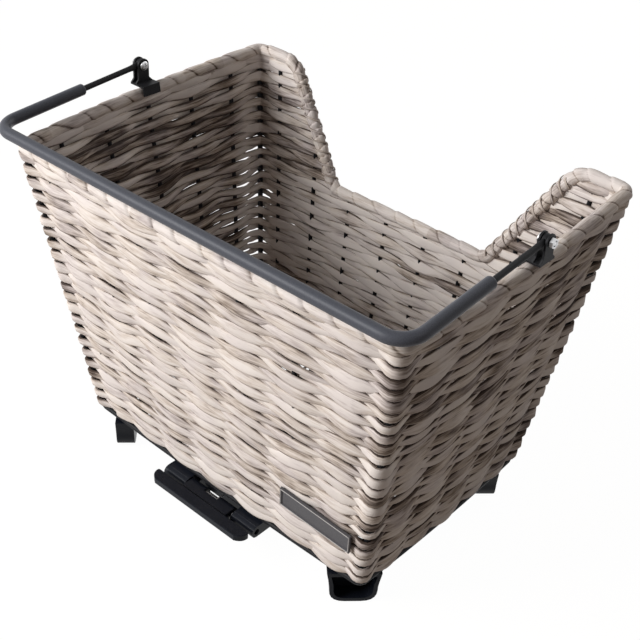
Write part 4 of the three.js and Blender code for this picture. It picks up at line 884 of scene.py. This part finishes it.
pin_low, pin_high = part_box("lever_pin")
pin_y, pin_z = (pin_low.y + pin_high.y) / 2, (pin_low.z + pin_high.z) / 2
pin_radius = (pin_high.z - pin_low.z) / 2
pin_x = np.repeat([pin_low.x, pin_high.x], 3) + np.array([0, 0, PIN_CHAMFER, -PIN_CHAMFER, 0, 0])
pin_reach = pin_radius * np.array([0.05, 0.8, 1, 1, 0.8, 0.05])
pin_angle = np.linspace(0, 2 * np.pi, 40, endpoint=False)
pin_grid = np.stack([pin_x[:, None] + 0 * pin_angle, pin_y + pin_reach[:, None] * np.cos(pin_angle),
                     pin_z + pin_reach[:, None] * np.sin(pin_angle)], -1)
dress(grid_piece("hinge_pin", [pin_grid]), zinc, "basket", "steel", "lever_pin")

spring_turn = np.linspace(0, 2 * np.pi * SPRING_TURNS, SPRING_TURNS * 28 + 1)
around_pin = np.stack([0 * spring_turn, np.sin(spring_turn), np.cos(spring_turn)], 1)
coil = np.array([0, pin_y, pin_z]) + SPRING_RADIUS * around_pin
coil[:, 0] = np.linspace(-SPRING_HALF, SPRING_HALF, len(spring_turn))
leg_share = np.linspace(1, 0, LEG_POINTS + 1)[:-1, None]
near_leg = coil[0] - leg_share * (0, SPRING_LEG, 0)
far_leg = coil[-1] + leg_share[::-1] * (0, SPRING_FAR_LEG, 0)
spring_path = np.concatenate([near_leg, coil, far_leg])
leg_out, far_leg_out = (np.tile(around_pin[end], (LEG_POINTS, 1)) for end in (0, -1))
spring_out = np.concatenate([leg_out, around_pin, far_leg_out])
spring = dress(grid_piece("torsion_spring", [tube_rings(spring_path, spring_out, SPRING_WIRE, 10)]),
               zinc, None, "steel", "lever_spring")
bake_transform(spring)

# Bail brackets: two ears of pressed steel on each short wall's rim, powder-coated black, with a
# screw through them from the inside and a nut on the outside.

for side, way in (("left", (1, 0, 0)), ("right", (-1, 0, 0))):
    bracket, screw, nut = (f"{part}_{side}" for part in ("bail_bracket", "pivot_screw", "pivot_nut"))
    dress(softened(f"ears_{side}", bracket, 0.0004), wire_coating, "basket", "wire", bracket)
    dress(softened(f"{nut}_bevelled", nut, 0.0003), zinc, "basket", "steel", nut)
    low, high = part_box(screw)
    head_end = high.x if side == "left" else low.x
    underside = np.array([head_end - way[0] * SCREWS["pivot_screw"][2], 0, (low.z + high.z) / 2])
    dress(pan_screw(screw, "pivot_screw", underside, way), zinc, "basket", "steel", screw)

# Bail: a steel rod bent to a U, its ends flattened to eyes on the pivot screws, with a thick
# moulded sleeve over the near run and both corners.

EYE_INSET = 0.0037
BAIL_ROD = 0.0024
GRIP_RADIUS = 0.0048
GRIP_START = 0.062
GRIP_ROUND = 0.0018
BAIL_BEND = 0.018
BAIL_REACH_Y = 0.148
BAIL_DROP = 0.0127
EYE_RADIUS = 0.005
EYE_HALF = 0.0017
EYE_BORE = 0.0023
EYE_POWER = 0.3
ROD_START = 0.0042
FLAT_END = 0.014
BORE_GAP = 0.0002

nut_low, nut_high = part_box("pivot_nut_right")
pivot_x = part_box("bail_bracket_right")[1].x - EYE_INSET
pivot_z = (nut_low.z + nut_high.z) / 2
bail_reach = math.hypot(BAIL_REACH_Y, BAIL_DROP)
bail_angle = math.atan2(BAIL_DROP, BAIL_REACH_Y)
bail_turn = np.array(Matrix.Rotation(bail_angle, 3, "X"))


def bail_path(start):
    """The bail's centre line in its own plane, from one arm's start to the other's."""
    corners = [(-pivot_x, -start), (-pivot_x, -bail_reach), (pivot_x, -bail_reach), (pivot_x, -start)]
    line = rounded([np.array([x, y, 0]) for x, y in corners], [BAIL_BEND] * 2, 24)
    return resample(line, 0.002)


def from_bail_plane(points):
    """Points of the bail's own plane, turned to its rest angle and lifted to the pivots."""
    return points @ bail_turn.T + (0, 0, pivot_z)


def rod_surface():
    """The rod's rings. Near each end its width across the eye shrinks and its depth grows, so that
    the round section eases into the flat eye."""
    path = bail_path(ROD_START)
    grid = tube_rings(path, (0, 0, 1), BAIL_ROD, 24)
    run = run_along(path)
    to_pivot = ROD_START + np.minimum(run, run[-1] - run)
    flat = np.clip((FLAT_END - to_pivot) / (FLAT_END - ROD_START), 0, 1) ** 1.5
    grid[..., 0] = path[:, None, 0] + (grid[..., 0] - path[:, None, 0]) * (1 - 0.3 * flat)[:, None]
    grid[..., 2] *= (1 + 0.55 * flat)[:, None]
    return from_bail_plane(grid)


def eye_surface(middle_x):
    """A flat ring round the pivot axis: a rounded rectangle, whose cosine and sine are raised to
    a power below one, carried round a circle."""
    around = np.linspace(0, 2 * np.pi, 48, endpoint=False)[:, None]
    section = np.linspace(0, 2 * np.pi, 24, endpoint=False)
    thick, wide = signed_power(np.cos(section), EYE_POWER), signed_power(np.sin(section), EYE_POWER)
    reach = (EYE_RADIUS + EYE_BORE) / 2 + (EYE_RADIUS - EYE_BORE) / 2 * wide
    across = middle_x + EYE_HALF * thick + 0 * around
    return from_bail_plane(np.stack([across, reach * np.cos(around), reach * np.sin(around)], -1))


def grip_surface():
    """The sleeve's outer rings, drawn in by a quarter round at both ends, then its bore's rings on
    the way back."""
    path = bail_path(GRIP_START)
    ease = np.linspace(0, 1, 7)

    def end_points(tip, inner):
        inward = (inner - tip) / np.linalg.norm(inner - tip)
        return tip + inward * GRIP_ROUND * ease[:, None]
    first, last = end_points(path[0], path[1]), end_points(path[-1], path[-2])[::-1]
    drawn = GRIP_ROUND * (1 - np.sqrt(1 - (1 - ease) ** 2))
    radius = GRIP_RADIUS - np.concatenate([drawn, np.zeros(len(path) - 2), drawn[::-1]])
    outer_rings = tube_rings(np.concatenate([first, path[1:-1], last]), (0, 0, 1), radius, 40)
    bore_rings = tube_rings(path, (0, 0, 1), BAIL_ROD + BORE_GAP, 40)[::-1]
    return from_bail_plane(np.concatenate([outer_rings, bore_rings]))


grip_finish = coated_finish(
    "grip_sleeve", (0.058, 0.061, 0.074), (0.080, 0.084, 0.100), 0.36, 1400, 0.00004)
eyes = [eye_surface(-pivot_x), eye_surface(pivot_x)]
dress(grid_piece("bail_wire", [rod_surface()]), wire_coating, "bail", "wire", "bail_rod")
dress(grid_piece("bail_eyes", eyes, closed=True), wire_coating, "bail", "wire", "bail_rod")
sleeve = grid_piece("bail_sleeve", [grip_surface()], closed=True)
dress(sleeve, grip_finish, "bail", "grip", "bail_grip")

# Badge: a bare dark plate let into the near wall, low on the right, with a thin light bead along
# its raised edge.

BADGE_FRONT = 0.0014
BADGE_TILT = math.radians(5)
WALL_HALF = 0.005
BEAD_RADIUS = 0.00035
BEAD_INSET = 0.0009
BEAD_BEND = 0.0012

badge_finish = coated_finish(
    "badge_plate", (0.075, 0.073, 0.078), (0.095, 0.092, 0.098), 0.38, 700, 0.00003)
bead_finish = coated_finish("badge_bead", (0.42, 0.40, 0.39), (0.52, 0.50, 0.48), 0.4, 900, 0.00002)
dress(softened("badge_field", "badge_plate", 0.0003), badge_finish, "basket", "badge", "badge_plate")

# The badge follows the wall's bow and lean at its place, and is tilted a little in the wall's plane.
badge_half_x, badge_half_y, badge_bow = wall_sizes(BADGE_LEVEL)
badge_run_x = badge_half_x - CORNER_RADIUS
badge_share = BADGE_X / badge_run_x
badge_face = (BADGE_X, -(badge_half_y - BINDING_RADIUS + WALL_HALF + badge_bow * (1 - badge_share**2)),
              BADGE_LEVEL + LIFT)
badge_lean = math.atan((HALF_TOP[1] - HALF_BOTTOM[1]) / NEAR_RIM)
badge_swing = math.atan(2 * badge_bow * badge_share / badge_run_x)
badge_place = np.array(Matrix.Rotation(badge_swing, 3, "Z") @ Matrix.Rotation(badge_lean, 3, "X")
                       @ Matrix.Rotation(BADGE_TILT, 3, "Y"))
bead_x, bead_z = (half - BEAD_INSET for half in BADGE_HALF)
bead_corners = [np.array([x * bead_x, -BADGE_FRONT, z * bead_z]) for x, z in (
    (0, -1), (1, -1), (1, 1), (-1, 1), (-1, -1), (0, -1))]
bead_path = resample(rounded(bead_corners, [BEAD_BEND] * 4, 6), 0.0005)[:-1]
bead_rings = tube_rings(bead_path, (0, 1, 0), BEAD_RADIUS, 8, True) @ badge_place.T + badge_face
bead = grid_piece("badge_bead", [bead_rings], closed=True)
dress(bead, bead_finish, "basket", "badge", "badge_plate")

# Studio: a pale floor that fades to white, a soft key lamp at the left front, a weak lamp at the
# right and a soft lamp behind.

AMBIENT = (0.070, 0.058, 0.050)
FLOOR_COLOUR = (0.30, 0.26, 0.23)
FLOOR_WHITE = 1.09
FLOOR_WHITE_SHARE = 0.9
floor_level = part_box("foot_near_left")[0].z
studio_reach = 4
ground = bpy.data.meshes.new("studio_floor")
ground.from_pydata([(x * studio_reach, y * studio_reach, floor_level) for x, y in (
    (-1, -1), (1, -1), (1, 1), (-1, 1))], [], [(0, 1, 2, 3)])
add_object("studio_floor", ground)


def seen_directly(tree):
    """1 for a ray from the camera, through glass or off a glossy surface, and 0 for the even light
    that the scene gets: the highest of the three ray tests."""
    path = add_node(tree, "ShaderNodeLightPath").outputs
    clear = add_node(tree, "ShaderNodeMath", [
        (0, path["Is Camera Ray"]), (1, path["Is Transmission Ray"])], operation="MAXIMUM").outputs[0]
    return add_node(tree, "ShaderNodeMath", [
        (0, clear), (1, path["Is Glossy Ray"])], operation="MAXIMUM").outputs[0]


ground_finish, tree, surface = new_finish("studio_floor", 0.9)
surface.inputs["Base Color"].default_value = (*FLOOR_COLOUR, 1)
shine = add_node(tree, "ShaderNodeEmission", [("Color", (1, 1, 1, 1)), ("Strength", FLOOR_WHITE)])
share_white = add_node(tree, "ShaderNodeMath", [
    (0, seen_directly(tree)), (1, FLOOR_WHITE_SHARE)], operation="MULTIPLY")
mix = add_node(tree, "ShaderNodeMixShader", [
    (0, share_white.outputs[0]), (1, surface.outputs["BSDF"]), (2, shine.outputs[0])])
tree.links.new(mix.outputs[0], tree.nodes["Material Output"].inputs["Surface"])
ground.materials.append(ground_finish)

world = bpy.data.worlds.new("studio")
bpy.context.scene.world = world
world.use_nodes = True
tree = world.node_tree
mix = add_node(tree, "ShaderNodeMix", [
    ("Factor", seen_directly(tree)), (6, (*AMBIENT, 1)), (7, (1, 1, 1, 1))], data_type="RGBA")
tree.links.new(mix.outputs[2], tree.nodes["Background"].inputs["Color"])


def soft_lamp(name, place, aim, size, power):
    """A square area lamp at a place, turned to face its aim."""
    lamp = bpy.data.lights.new(name, "AREA")
    lamp.size = size
    lamp.energy = power
    lamp_object = add_object(name, lamp)
    lamp_object.location = place
    lamp_object.rotation_euler = (Vector(aim) - Vector(place)).to_track_quat("-Z", "Y").to_euler()


soft_lamp("key", (-1.25, -1.85, 1.3), (0, 0, 0.15), 1.4, 89)
soft_lamp("fill", (1.3, 0.2, 1.5), (0, 0, 0.12), 0.5, 3.0)
soft_lamp("back", (0.3, 2.4, 1.3), (0, 0, 0.15), 1.2, 18)

# Camera: the photograph's viewing angle, found from the basket's outline.

AZIMUTH, ELEVATION, ROLL = math.radians(40.23), math.radians(34.38), math.radians(3.23)
DISTANCE = 0.9203
TARGET = Vector((0.01738, -0.0055, 0.130 + LIFT))
FOCAL_PIXELS = 1109.8
IMAGE_PIXELS = 640
SENSOR = 36

back = Vector((math.sin(AZIMUTH) * math.cos(ELEVATION), -math.cos(AZIMUTH) * math.cos(ELEVATION),
               math.sin(ELEVATION)))
level_right = Vector((math.cos(AZIMUTH), math.sin(AZIMUTH), 0))
level_up = back.cross(level_right)
turned_right = level_right * math.cos(ROLL) + level_up * math.sin(ROLL)
turned_up = level_up * math.cos(ROLL) - level_right * math.sin(ROLL)
camera_data = bpy.data.cameras.new("camera")
camera_data.sensor_width = SENSOR
camera_data.lens = FOCAL_PIXELS / IMAGE_PIXELS * SENSOR
camera = add_object("camera", camera_data)
camera_axes = Matrix((turned_right, turned_up, back)).transposed()
camera.matrix_world = Matrix.Translation(TARGET + back * DISTANCE) @ camera_axes.to_4x4()
bpy.context.scene.camera = camera
bpy.context.scene.view_settings.view_transform = "Standard"
